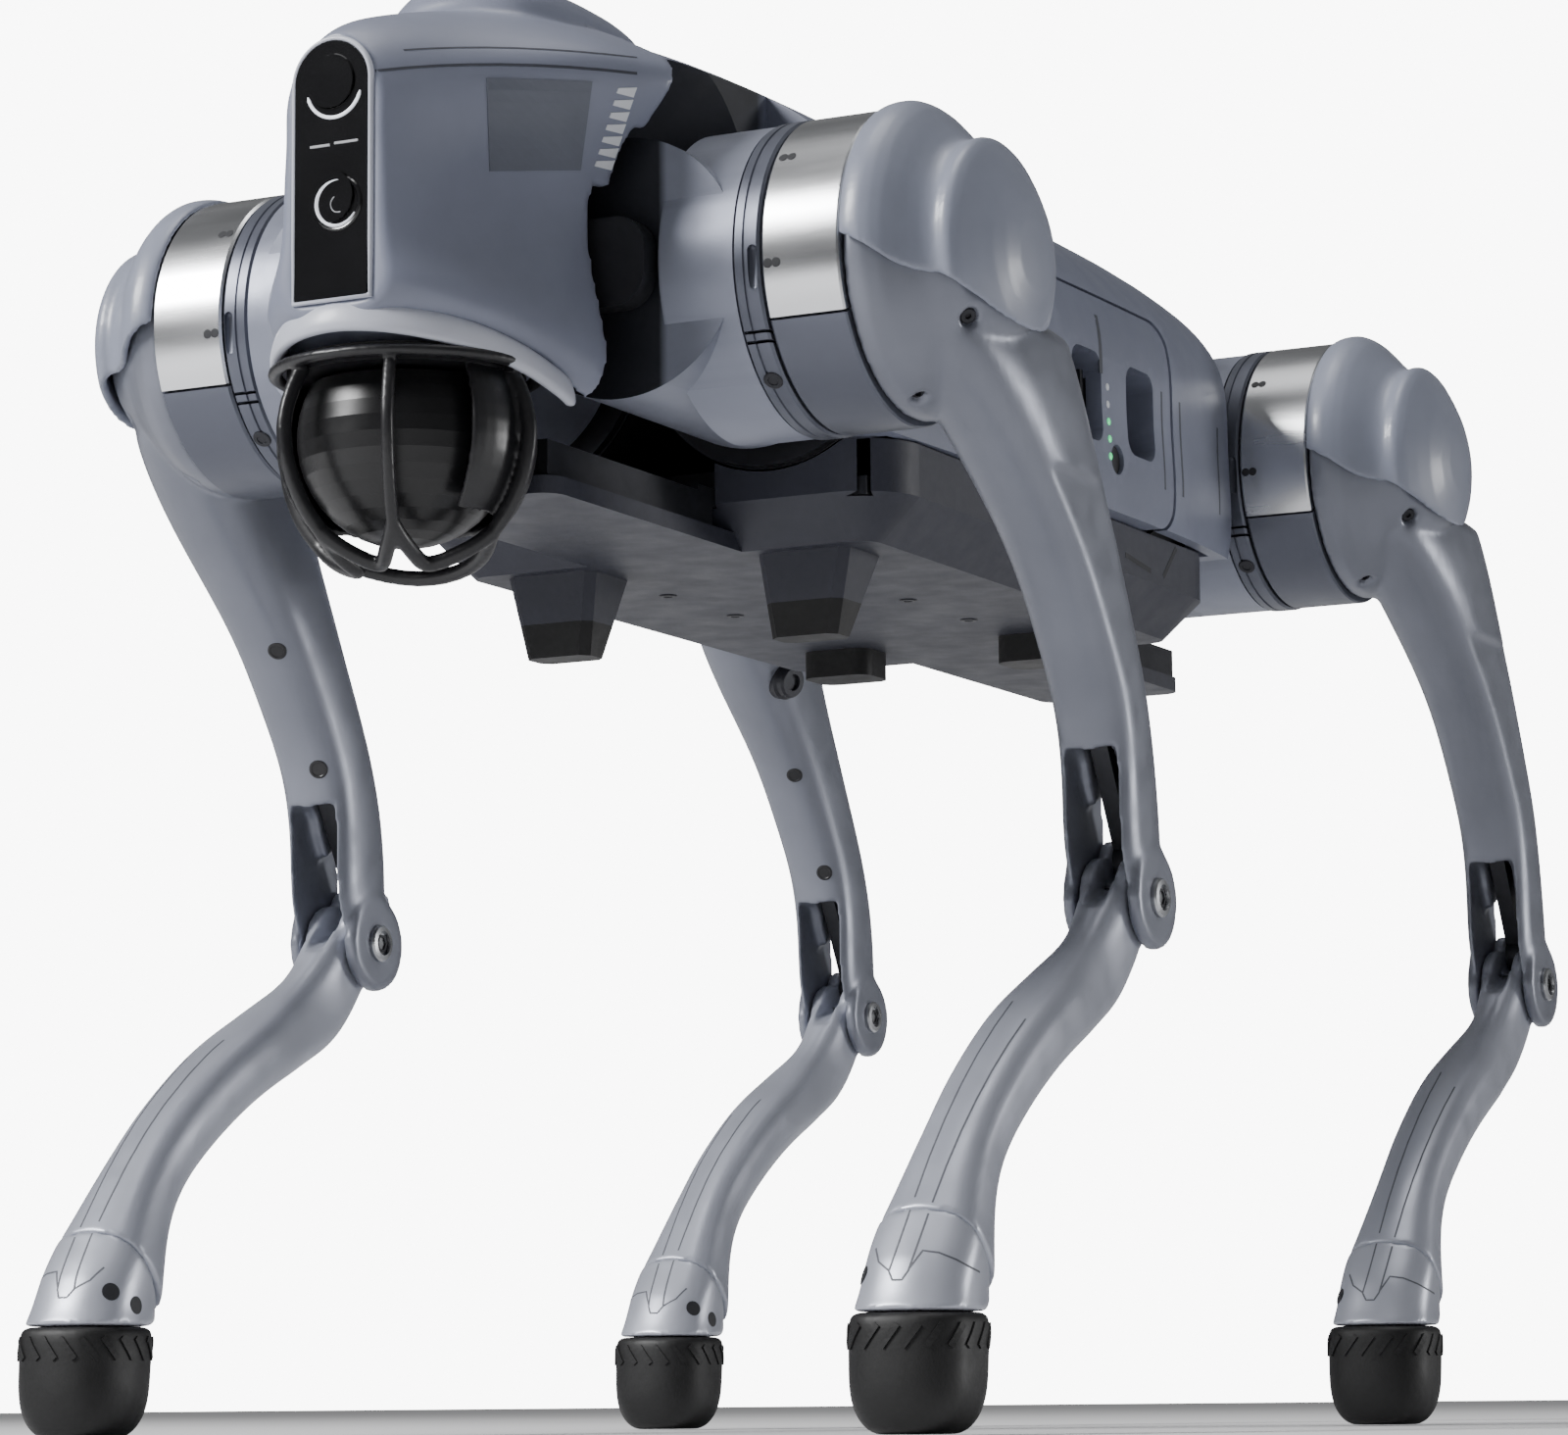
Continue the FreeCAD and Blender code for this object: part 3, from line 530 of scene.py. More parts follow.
def paint_nodes():
    for node, material in NODE_FINISH.items():
        paint_node(node, material)
    for leg in LEGS:
        for node, material in LEG_FINISH.items():
            paint_node("%s_%s" % (node, leg), material)
    # Painted shade on the back shell's neck sides and on the front hip housings' inner faces.
    paint_node("back_shell", paint_shade_where(GREY_SHELL, "shell_with_painted_neck_shade", NECK_SHADE))
    hip_with_painted_face_shade = paint_shade_where(HIP_GREY, "hip_with_painted_face_shade", HIP_FACE_SHADE)
    for leg in ("fl", "fr"):
        paint_node("hip_housing_" + leg, hip_with_painted_face_shade)


paint_nodes()


# --- placing details ---
def sphere_point(centre, radius, azimuth, elevation):
    """Point on a sphere; azimuth 0 looks forward and grows towards the robot's left."""
    a, e = math.radians(azimuth), math.radians(elevation)
    out = Vector((math.sin(a) * math.cos(e), -math.cos(a) * math.cos(e), math.sin(e)))
    return Vector(centre) + radius * out


def bow(start, pull, end, count=8):
    """Points on a curve that leaves the start towards a pull point and bends to the end."""
    start, pull, end = Vector(start), Vector(pull), Vector(end)
    steps = [i / count for i in range(count + 1)]
    return [start.lerp(pull, t).lerp(pull.lerp(end, t), t) for t in steps]


def on_drum(x, below, radius=51.0):
    """Point round the thigh's axis, so many degrees below its front."""
    a = math.radians(below)
    return Vector((x, -radius * math.cos(a), -radius * math.sin(a)))


def on_thigh(down, behind, outward):
    """Point by the thigh: down its length, behind its middle line and outward from the leg's plane."""
    c, s = math.cos(THIGH_LEAN), math.sin(THIGH_LEAN)
    return Vector((LEG_X + outward, down * s + behind * c, behind * s - down * c))


def on_shin(down, outward):
    """Point on the rounded front of the shin and cuff, down from the knee."""
    c, s = math.cos(SHIN_LEAN), math.sin(SHIN_LEAN)
    crest = 32 - ((down - 138) / 22.5) ** 2
    ahead = crest * (1 - abs(outward / 19.5) ** 2.6) ** (1 / 2.6)
    return Vector((LEG_X + outward, KNEE.y - down * s - ahead * c, KNEE.z - down * c + ahead * s))


def sight(surface, point, eye):
    """Where the line from the eye through a point first meets the surface."""
    return surface.hit(eye, Vector(point) - Vector(eye))


def line_on(name, surface, path, eye, width=0.7, proud=0.12, steps=6):
    """Thin strip laid on a surface through points seen from the eye."""
    dense = []
    for a, b in zip(path, path[1:]):
        a, b = Vector(a), Vector(b)
        dense += [a.lerp(b, i / steps) for i in range(steps)]
    dense.append(Vector(path[-1]))
    hits = [sight(surface, point, eye) for point in dense]
    hits = [h for h in hits if h is not None]
    rings = []
    for i, (point, normal) in enumerate(hits):
        before = hits[max(i - 1, 0)][0]
        after = hits[min(i + 1, len(hits) - 1)][0]
        side = (after - before).cross(normal).normalized() * (width / 2)
        lift, sink = normal * proud, normal * -0.4
        left, right = point - side, point + side
        rings.append([left + sink, left + lift, right + lift, right + sink])
    return loft(name, rings, surface.space)


def plate_on(name, surface, corners, eye, proud=0.15, steps=8):
    """Thin four-cornered plate that follows a surface; corners go round."""
    a, b, c, d = (Vector(p) for p in corners)
    rings = []
    for i in range(steps + 1):
        s = i / steps
        row_a, row_b = a.lerp(d, s), b.lerp(c, s)
        top, low = [], []
        for j in range(steps + 1):
            found = sight(surface, row_a.lerp(row_b, j / steps), eye)
            if found is None:
                return None
            top.append(found[0] + found[1] * proud)
            low.append(found[0] - found[1] * 0.4)
        rings.append(top + low[::-1])
    return loft(name, rings, surface.space)


def disc_on(name, surface, point, eye, profile, count=20):
    """Turned fitting that sits on a surface along its normal."""
    found = sight(surface, point, eye)
    return turned(name, profile, found[0], found[1], surface.space, count)


SCREW = ((-2.0, 3.1), (0.25, 3.1), (0.5, 2.8), (0.5, 1.7), (0.2, 1.5), (0.2, 0.0))
PIN_HOLE = ((-1.0, 1.5), (0.12, 1.5), (0.16, 1.2), (0.16, 0.0))
HOLE = ((-1.5, 2.9), (0.1, 2.9), (0.16, 2.5), (0.16, 0.0))
SOCKET = ((-2.0, 3.3), (0.1, 3.3), (0.3, 2.9), (0.3, 2.5), (0.1, 2.3), (0.1, 0.0))

CAMERA_AT = Vector((764.8, -1533.8, -347.5))
LEG_EYE = CAMERA_AT + Vector((0, HIP_Y, 0))
INNER_EYE = LEG_EYE - Vector((2 * CAMERA_AT.x + 300, 0, 0))


def to_all_legs(piece, name, body, replaced=None, legs=LEGS):
    """The front left piece, copied and mirrored onto the legs."""
    back = leg_space("fl").inverted()
    for leg in legs:
        move = leg_space(leg) @ back
        mesh = piece.data.copy()
        mesh.transform(move)
        if move.determinant() < 0:
            mesh.flip_normals()
        copy = add_object("%s_%s" % (name, leg), mesh)
        fit(copy, "%s_%s" % (body, leg))
        if replaced:
            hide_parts("%s_%s" % (replaced, leg))
    remove(piece)


FL = leg_space("fl")


# --- shoulder ---
BAND_X0, BAND_X1, BAND_R = 97.6, 123.7, 49.6
BAND_SPLIT = math.radians(-26)


def arc_shell(name, profile, start, stop, thick, count=64):
    """Shell swept round the motor axis from a start to a stop angle, measured up from the front."""
    rings = []
    for i in range(count + 1):
        angle = start + (stop - start) * i / count
        c, s = math.cos(angle), math.sin(angle)
        outer = [Vector((x, -r * c, r * s)) for x, r in profile]
        inner = [Vector((x, -(r - thick) * c, (r - thick) * s)) for x, r in profile]
        rings.append(outer + inner[::-1])
    return loft(name, rings, FL)


def make_band():
    """Polished upper half and dark lower half of the knee motor's visible band."""
    high = [(BAND_X0, 48.9), (BAND_X0 + 0.8, BAND_R), (BAND_X1 - 0.6, BAND_R), (BAND_X1, 49.1)]
    low = [(x, r - 0.5) for x, r in high]
    gap = 0.010
    thick = 6.0
    top = arc_shell("band_top", high, BAND_SPLIT + gap, math.pi - BAND_SPLIT - gap, thick)
    bottom = arc_shell("band_low", low, math.pi - BAND_SPLIT + gap, 2 * math.pi + BAND_SPLIT - gap, thick)
    shade(dress(top, BAND_METAL), 25)
    shade(dress(bottom, RING_METAL), 25)
    surface = Surface(top, FL)
    places = [on_drum(x, 6.2, BAND_R) for x in (99.9, 102.7)]
    places += [on_drum(x, -36.4, BAND_R) for x in (100.8, 103.6)]
    dots = [disc_on("dot", surface, place, LEG_EYE, PIN_HOLE) for place in places]
    core = turned("core", [(88.0, 20), (88.0, 44.6), (123.4, 44.6), (123.4, 20)], (0, 0, 0), (1, 0, 0), FL)
    shade(dress(core, DARK_METAL))
    to_all_legs(top, "shoulder_band", "thigh", "knee_motor")
    to_all_legs(bottom, "shoulder_band_lower", "thigh")
    to_all_legs(core, "shoulder_core", "thigh")
    for number, dot in enumerate(dots):
        to_all_legs(dress(dot, SEAM), "band_dot_%d" % number, "thigh")


def make_ring():
    """Ring of the hip motor with its oval pocket, slits and screw."""
    profile = [(87.9, 40), (87.9, 48.6), (88.6, 49.5), (91.2, 49.6), (91.5, 49.1), (91.9, 49.1),
               (92.2, 49.6), (96.0, 49.6), (96.8, 48.8), (96.8, 40)]
    ring = turned("ring", profile, (0, 0, 0), (1, 0, 0), FL, 128)
    boolean(ring, block("pocket", (93.0, -52, -13.0), (96.2, -47.4, 1.0), FL, 1.5), "DIFFERENCE")
    for z in (-24.6, -27.4):
        slit = block("slit", (88.4, -60, z - 0.45), (96.9, -35, z + 0.45), FL, 0.1, 1)
        boolean(ring, slit, "DIFFERENCE")
    shade(dress(ring, RING_METAL), 25)
    screw = disc_on("screw", Surface(ring, FL), on_drum(93.6, 48.3), LEG_EYE, SCREW)
    to_all_legs(ring, "hip_ring", "hip", "hip_motor")
    to_all_legs(shade(dress(screw, DARK_METAL)), "ring_screw_0", "hip")


CAP_PROFILE = (
    (124.1, 50.0), (125.0, 50.8), (127.5, 51.5), (131.0, 51.6), (134.0, 50.4), (137.0, 48.2), (140.0, 45.0),
    (143.0, 41.6), (146.0, 38.6), (148.5, 37.0), (150.5, 36.9), (152.5, 37.6), (154.5, 37.2), (157.0, 34.6),
    (160.0, 29.4), (163.0, 23.4), (165.2, 17.4), (166.6, 11.0), (167.1, 4.0),
)
CAP_EDGE = (
    (110.0, 3.0), (124.1, 1.0), (128.0, -0.6), (133.0, -3.6), (139.5, -8.6), (144.0, -10.3), (150.0, -11.0),
    (154.0, -13.2), (158.5, -17.4), (164.0, -24.5), (170.0, -30.0), (185.0, -36.0),
)


def ramp(table, x):
    """Straight-line value at x in a table of pairs."""
    for (x0, y0), (x1, y1) in zip(table, table[1:]):
        if x <= x1:
            return y0 + (y1 - y0) * max(x - x0, 0) / (x1 - x0)
    return table[-1][1]


def make_cap():
    """Two-lobed shoulder cap with a wavy lower edge."""
    side_wall, end_wall = 1.7, 2.2
    outer = [(CAP_PROFILE[0][0], 0.0)] + list(CAP_PROFILE) + [(167.2, 0.0)]
    inner = [(120.0, 0.0), (120.0, 48.0)]
    for x, r in CAP_PROFILE[1:-2]:
        inner.append((x, min(r, ramp(CAP_PROFILE, x + end_wall)) - side_wall))
    inner += [(164.6, 6.0), (164.8, 0.0)]
    cap = turned("cap", outer, (0, 0, 0), (1, 0, 0), FL, 96)
    boolean(cap, turned("inner", inner, (0, 0, 0), (1, 0, 0), FL, 96), "DIFFERENCE")
    outline = list(CAP_EDGE) + [(185.0, -90.0), (110.0, -90.0)]
    rings = [[Vector((x, y, z)) for x, z in outline] for y in (-80, 80)]
    boolean(cap, loft("below", rings, FL), "DIFFERENCE")
    soften(cap, 0.9, 7)
    dress(cap, CAP_GREY)
    to_all_legs(cap, "shoulder_cap", "thigh", "thigh_cap")


# --- thigh, knee and shin ---
def sunk_bolt(spot, normal, radius, deep):
    """Bolt head at the bottom of a round hole."""
    rim, face = radius - 0.6, radius - 1.0
    profile = [(-1.0, rim), (1.2, rim), (1.6, face), (1.6, 1.0), (0.6, 0.9), (0.5, 0.0)]
    bolt = turned("bolt", [(along - deep, r) for along, r in profile], spot, normal, FL, 20)
    return shade(dress(bolt, DARK_METAL))


def make_thigh():
    """Thigh shell with two bolts sunk into its drum."""
    thigh = cad_copy("thigh", "thigh_frame_fl")
    surface = Surface(thigh, FL)
    cuts = []
    for point, radius, deep in ((on_drum(164, 34), 3.3, 4.0), (on_drum(137.3, 64.7), 2.6, 3.5)):
        spot, normal = sight(surface, point, LEG_EYE)
        cuts.append((spot, normal, radius, deep))
    for spot, normal, radius, deep in cuts:
        tool = turned("hole", [(-deep, radius), (4.0, radius)], spot, normal, FL, 24)
        boolean(thigh, tool, "DIFFERENCE")
    dress(soften(thigh, 1.15, 9), THIGH_METAL)
    to_all_legs(thigh, "thigh_shell", "thigh", "thigh_frame")
    for number, cut in enumerate(cuts):
        to_all_legs(sunk_bolt(*cut), "shoulder_bolt_%d" % number, "thigh")


def make_knee_bolts():
    """Pin with a hexagonal recess on each side of the fork."""
    ends = []
    for x, side in ((159.5, 1), (132.5, -1)):
        head = turned("head", [(-3.0, 6.4), (1.0, 6.4), (1.7, 5.8), (1.9, 4.2), (-0.6, 3.7), (-0.7, 0.0)],
                      (x, KNEE.y, KNEE.z), (side, 0, 0), FL, 30)
        socket = turned("socket", [(-0.6, 3.4), (1.1, 3.4), (1.1, 2.4), (-0.2, 2.3), (-0.25, 0.0)],
                        (x, KNEE.y, KNEE.z), (side, 0, 0), FL, 6)
        dress(head, STEEL)
        dress(socket, DARK_METAL)
        ends += [shade(head), socket]
    shaft = turned("shaft", [(132.0, 4.3), (160.0, 4.3)], (0, KNEE.y, KNEE.z), (1, 0, 0), FL, 24)
    ends.append(shade(dress(shaft, STEEL)))
    to_all_legs(join("knee_pin", ends), "knee_pin", "thigh", "thigh_fasteners")


def narrow_ankle(piece):
    """Slims the cuff towards the boot, and the boot itself."""
    back = FL.inverted()
    centre = Vector((LEG_X, FOOT_Y, 0))
    top, length, slimming = -298.0, 20.0, 0.10
    for vertex in piece.data.vertices:
        local = back @ vertex.co
        down = min(max((top - local.z) / length, 0), 1)
        factor = 1 - slimming * down * down * (3 - 2 * down)
        local.x = centre.x + (local.x - centre.x) * factor
        local.y = centre.y + (local.y - centre.y) * factor
        vertex.co = FL @ local
    return piece


def make_shin():
    shin = soften(cad_copy("shin", "calf_fl"), 1.1, 8)
    to_all_legs(dress(shin, LEG_METAL), "shin_shell", "calf", "calf")
    cuff = narrow_ankle(soften(cad_copy("cuff", "foot_cuff_fl"), 0.9, 8))
    to_all_legs(dress(cuff, CUFF_METAL), "ankle_cuff", "calf", "foot_cuff")
    boot = narrow_ankle(soften(cad_copy("boot", "foot_boot_fl"), 1.1, 26))
    to_all_legs(dress(boot, RUBBER), "rubber_boot", "calf", "foot_boot")


def lines_on_leg(name, surface, paths, width):
    """Fine seams on the shin or cuff, seen from the front."""
    pieces = [dress(line_on("line", surface, path, LEG_EYE, width, 0.08), LEG_SEAM) for path in paths]
    to_all_legs(join(name, pieces), name, "calf")


def make_shin_seams():
    """Blade lines down the shin, and the tongue and steps where they end on the cuff."""
    shin = Surface(bpy.data.objects["shin_shell_fl"], FL)
    inner = [on_shin(84 + 94 * i / 6, -2.2) for i in range(7)]
    outer = [on_shin(95 + 85 * i / 6, 6.2 - 2.2 * i / 6) for i in range(7)]
    lines_on_leg("shin_seam", shin, (inner, outer), 0.55)
    tongue = [(178, -2.2), (192, -2.6), (204, -3.4), (207, -1.5), (207, 1.5), (204, 2.8), (192, 3.6),
              (180, 4)]
    inner_step = [(194, -11), (200, -8), (204, -3.2)]
    outer_step = [(203, 3), (197, 5.5), (196.5, 10), (196, 14.3), (193, 18.3)]
    paths = [[on_shin(*place) for place in path] for path in (tongue, inner_step, outer_step)]
    lines_on_leg("cuff_seam", Surface(bpy.data.objects["ankle_cuff_fl"], FL), paths, 0.6)


def make_leg_screws():
    """Holes on the inner side of the cuff, and screws on the inner side of the right thighs."""
    cuff = Surface(bpy.data.objects["ankle_cuff_fl"], FL)
    thigh = Surface(bpy.data.objects["thigh_shell_fl"], FL)
    for number, place in enumerate((on_shin(200.7, -14.5), on_shin(197.5, -18.7))):
        hole = disc_on("hole", cuff, place, INNER_EYE, HOLE)
        to_all_legs(shade(dress(hole, SEAM)), "cuff_hole_%d" % number, "calf")
    for number, place in enumerate((on_thigh(105, -0.7, -5.8), on_thigh(150.5, 3.6, -6.1))):
        screw = shade(dress(disc_on("screw", thigh, place, INNER_EYE, SOCKET), BLACK))
        to_all_legs(screw, "thigh_screw_%d" % number, "thigh", None, ("fr", "rr"))


def make_tread():
    """Slanted bars round the boot."""
    boot = Surface(bpy.data.objects["rubber_boot_fl"], FL)
    middle = Vector((LEG_X, FOOT_Y, -328.0))
    half_width, half_height, count = 2.6, 3.4, 18
    bars = []
    for i in range(count):
        angle = 2 * math.pi * i / count
        out = Vector((math.sin(angle), -math.cos(angle), 0))
        slant = Vector((math.cos(angle), math.sin(angle), 0)) * half_width + Vector((0, 0, half_height))
        bar = line_on("bar", boot, (middle + slant, middle - slant), middle + out * 400, 2.0, 0.55, 4)
        bars.append(dress(bar, RUBBER))
    to_all_legs(join("tread", bars), "boot_tread", "calf")


def make_thigh_knob():
    """Stop knob on the inner side of the rear right thigh."""
    profile = [(-6.0, 7.6), (0.4, 7.6), (1.2, 6.6), (3.6, 6.4), (4.4, 5.6), (4.4, 3.4), (3.0, 3.0),
               (3.0, 0.0)]
    place, axis = on_thigh(61.3, -8.0, -16.5), (-0.92, -0.3, -0.25)
    knob = turned("thigh_knob_rr", profile, place, axis, leg_space("rr"), 36)
    fit(shade(dress(knob, DARK_METAL)), "thigh_rr")


make_band()
make_ring()
make_cap()
make_thigh()
make_knee_bolts()
make_shin()
make_shin_seams()
make_leg_screws()
make_tread()
make_thigh_knob()


# --- head ---
LIDAR = Vector((0, -288.0, -58.0))
LENS_AT, LAMP_AT = 44.0, 8.0


def ride_trunk(piece, name, material=None):
    if material:
        dress(piece, material)
    piece.name = name
    return fit(piece, "trunk")


def mirrored(points, side):
    """Points on the robot's left, or on its right where side is -1."""
    return [Vector((p[0] * side, p[1], p[2])) for p in points]


SIDES = (("left", 1), ("right", -1))
PAD_Z = 84
HEAD_SEAM = bow((14, -329, 45), (33, -291, 56), (60.5, -252.5, 56.5))
HEAD_FOLD = bow((16.5, -317, 54), (36.5, -289.5, 60.5), (58, -248, 63))
HEAD_PATCH = ((31.5, -294, 49), (52, -265.5, 52), (43.5, -258, 27), (30.5, -290.5, 21))


def make_head():
    """Head shell with a lower pad on top, its seams, patches and slanted bars."""
    head = soften(cad_copy("head_skin", "head_shell"), 1.3, 5)
    for vertex in head.data.vertices:
        height = (vertex.co.z - ORIGIN.z) / MM
        if height > PAD_Z:
            vertex.co.z -= (height - PAD_Z) * 0.3 * MM
    ride_trunk(head, "head_skin", HEAD_GREY_PAINTED_LIGHTER)
    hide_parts("head_shell")
    surface = Surface(head, TRUNK_SPACE)
    for hand, side in SIDES:
        eye = mirrored([CAMERA_AT], side)[0]
        for name, path, width in (("head_seam_", HEAD_SEAM, 0.9), ("head_fold_", HEAD_FOLD, 0.6)):
            line = line_on("line", surface, mirrored(path, side), eye, width, 0.1)
            ride_trunk(line, name + hand, SHELL_SEAM)
        plate = plate_on("plate", surface, mirrored(HEAD_PATCH, side), eye, 0.35)
        ride_trunk(plate, "head_patch_" + hand, PATCH_GREY)
        make_head_bars(surface, eye, hand, side)


def make_head_bars(surface, eye, hand, side):
    """Row of slanted bars behind the patch."""
    top, drop = Vector((57.6, -254.4, 50.6)), Vector((-9.6, 3.2, -21.0))
    half_length, half_height, count = 2.9, 1.05, 7
    along = Vector((1.0, 1.5, -0.2)).normalized() * half_length
    slant = Vector((0.3, 0.2, 1.0)).normalized() * half_height
    for i in range(count):
        centre = top + drop * i / (count - 1)
        corners = [centre - along - slant, centre + along - slant, centre + along + slant * 2.2,
                   centre - along + slant * 0.6]
        bar = plate_on("bar", surface, mirrored(corners, side), eye, 0.28, 3)
        ride_trunk(bar, "head_bar_%s_%d" % (hand, i + 1), WHITE_MARK)


def smooth_path(path, steps):
    """Points on a smooth curve through the given ones."""
    last = len(path) - 1
    dense = []
    for i in range(last):
        before, a, b, after = (Vector(path[max(min(i + k, last), 0)]) for k in (-1, 0, 1, 2))
        for k in range(steps):
            t = k / steps
            square = 2 * before - 5 * a + 4 * b - after
            cube = 3 * a - before - 3 * b + after
            dense.append(0.5 * (2 * a + (b - before) * t + square * t * t + cube * t * t * t))
    dense.append(Vector(path[-1]))
    return dense


def make_brow():
    """Light lip that arches over the scanner's opening."""
    half = ((0, -330.4, -28.0), (14, -327.6, -28.8), (26, -319.0, -30.6), (35.6, -305.0, -33.2),
            (41.4, -287.0, -37.0), (43.8, -270.0, -41.5), (43.6, -262.0, -44.0))
    dense = smooth_path(mirrored(half[:0:-1], -1) + list(half), 6)
    rings = []
    for i, point in enumerate(dense):
        outward = Vector((point.x, point.y - LIDAR.y + 12, 0)).normalized()
        tilt = (Vector((0, 0, 1)) - outward * 0.25).normalized()
        slim = min(1.0, 0.25 + 0.25 * min(i, len(dense) - 1 - i))
        rings.append(oval(point - outward * 1.2, outward, tilt, 2.4 * slim, 4.9 * slim, 2.6, 20))
    brow = shade(loft("brow", rings, TRUNK_SPACE), 60)
    ride_trunk(brow, "brow_rim", BROW_GREY)


FACE_Y = -331.2


def arc_path(centre, radius, start, stop, count, y):
    """Points on a circle in the face's plane between two angles in degrees."""
    path = []
    for i in range(count + 1):
        a = math.radians(start + (stop - start) * i / count)
        path.append((centre[0] + radius * math.cos(a), y, centre[1] + radius * math.sin(a)))
    return path


def make_face_rim():
    """Light frame round the panel, with a round top and a straight foot."""
    half, low, high, y = 13.3, -22.8, 56.4, FACE_Y + 1.2
    heights = (30, 18, 6, -6, low)
    path = arc_path((0, high - half), half, 0, 180, 28, y)
    path += [(-half, y, z) for z in heights]
    path += [(half, y, z) for z in heights[::-1]]
    rim = tube("rim", path, 0.9, TRUNK_SPACE, True, 12, 1.3)
    ride_trunk(shade(rim, 50), "face_rim", BROW_GREY)


def optic(piece, name, material):
    ride_trunk(piece, name, material)


def make_lens():
    """Camera lens over a light arc and a broken dash."""
    profile = [(-2.5, 7.6), (0.2, 7.6), (0.5, 7.2), (0.4, 6.4), (-0.8, 5.6), (-0.9, 4.8), (-0.3, 4.2),
               (0.1, 2.6), (0.3, 0.0)]
    lens = turned("lens", profile, (0.3, FACE_Y, LENS_AT), (0, -1, 0), TRUNK_SPACE, 48)
    optic(shade(lens, 30), "camera_lens", GLOSS)
    arc = arc_path((1.2, 41.4), 9.4, 194, 346, 22, FACE_Y - 0.25)
    sizes = [0.2] + [0.55] * 21 + [0.2]
    optic(shade(tube("arc", arc, sizes, TRUNK_SPACE, flat=0.6)), "light_arc", GLOW_WHITE_AND_HIGHLIGHT)
    for number, (x0, x1) in enumerate(((-7.2, -0.2), (1.3, 9.6))):
        z = 23.4 + 0.3 * number
        dash = block("dash", (x0, FACE_Y - 0.3, z), (x1, FACE_Y + 0.4, z + 0.8), TRUNK_SPACE, 0.15, 2)
        optic(dash, "face_dash_%d" % number, PRINT_AND_GLINT_WHITE)


def make_lamp():
    """Round lamp in a bowl, with a glowing crescent of painted highlight that swells in its middle and a
    small painted glint.
    """
    x, z = 2.6, LAMP_AT - 2.2
    profile = [(-2.5, 8.4), (0.15, 8.4), (0.6, 8.0), (0.5, 7.3), (-0.6, 6.0), (-0.9, 4.4), (-0.2, 3.2),
               (0.3, 0.0)]
    lamp = turned("lamp", profile, (x, FACE_Y, z), (0, -1, 0), TRUNK_SPACE, 48)
    optic(shade(lamp, 30), "lamp_bowl", GLOSS)
    # Painted highlight: a glowing white crescent in the lamp's bowl.
    count = 30
    ring = arc_path((x, z), 6.9, 75, 330, count, FACE_Y - 0.35)
    sizes = [0.25 + 1.15 * math.sin(math.pi * i / count) ** 0.8 for i in range(count + 1)]
    optic(shade(tube("ring", ring, sizes, TRUNK_SPACE, flat=0.4)), "lamp_crescent_highlight", GLOW_WHITE_AND_HIGHLIGHT)
    # Painted glint: a small white arc standing in for a reflection on the lamp.
    glint = arc_path((x + 0.6, z - 0.4), 2.6, 120, 290, 12, FACE_Y - 0.5)
    optic(shade(tube("glint", glint, 0.5, TRUNK_SPACE, flat=0.5)), "lamp_glint", PRINT_AND_GLINT_WHITE)


RIB_ANGLES = (-90, -26, 24, 90)
GUARD_R = 43.0
RING_R = 39.6


def guard_rib(azimuth):
    """Flat rib that follows the scanner from the top ring down to the loops."""
    a = math.radians(azimuth)
    side = Vector((math.cos(a), math.sin(a), 0))
    rings = []
    for elevation in range(28, -50, -3):
        point = sphere_point(LIDAR, GUARD_R - 0.09 * max(elevation, 0), azimuth, elevation)
        rings.append(oval(point, side, (point - LIDAR).normalized(), 1.9, 2.3, 3.0, 16))
    return loft("rib", rings, TRUNK_SPACE)


def guard_loop(start, stop):
    """Bar that hangs in a U under the scanner between two ribs."""
    count = 28
    path = []
    for i in range(count + 1):
        t = i / count
        drop = math.sin(math.pi * t) ** 0.75
        azimuth, elevation = start + (stop - start) * t, -46 - 24 * drop
        path.append(sphere_point(LIDAR, GUARD_R - 0.4 * drop, azimuth, elevation))
    return tube("loop", path, 2.5, TRUNK_SPACE)


def guard_shroud():
    """Shell round the back of the scanner."""
    rings = []
    for elevation in range(30, -41, -7):
        outer = [sphere_point(LIDAR, RING_R, a, elevation) for a in range(62, 299, 6)]
        inner = [sphere_point(LIDAR, RING_R - 2, a, elevation) for a in range(62, 299, 6)]
        rings.append(outer + inner[::-1])
    return loft("shroud", rings, TRUNK_SPACE)


def make_guard():
    """Cage round the scanner: a top ring, four ribs, the loops underneath and the shroud behind."""
    ring = [sphere_point(LIDAR, RING_R, a, 0) + Vector((0, 0, 19.6)) for a in range(0, 360, 5)]
    bars = [tube("ring", ring, 2.3, TRUNK_SPACE, True, 12, 0.8)]
    bars += [guard_rib(azimuth) for azimuth in RIB_ANGLES]
    stops = RIB_ANGLES + (270,)
    bars += [guard_loop(start, stop) for start, stop in zip(stops, stops[1:])]
    bars.append(guard_shroud())
    guard = soften(join("guard", bars), 0.8, 3)
    ride_trunk(guard, "scanner_guard", BLACK)
    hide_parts("lidar_guard")


# --- trunk ---
def make_battery_grooves():
    """Two grooves on the battery's outer face."""
    surface = Surface(frame["nodes"]["battery"], TRUNK_SPACE)
    eye = Vector((900, 30, 0))
    grooves = ((17, 30, 9, 2.6), (70, 12, -24, 1.4))
    for number, (y, top, low, width) in enumerate(grooves):
        line = line_on("line", surface, ((96, y, top), (96, y, low)), eye, width, 0.05)
        line.name = "battery_groove_%d" % number
        fit(dress(line, SHELL_SEAM), "battery")


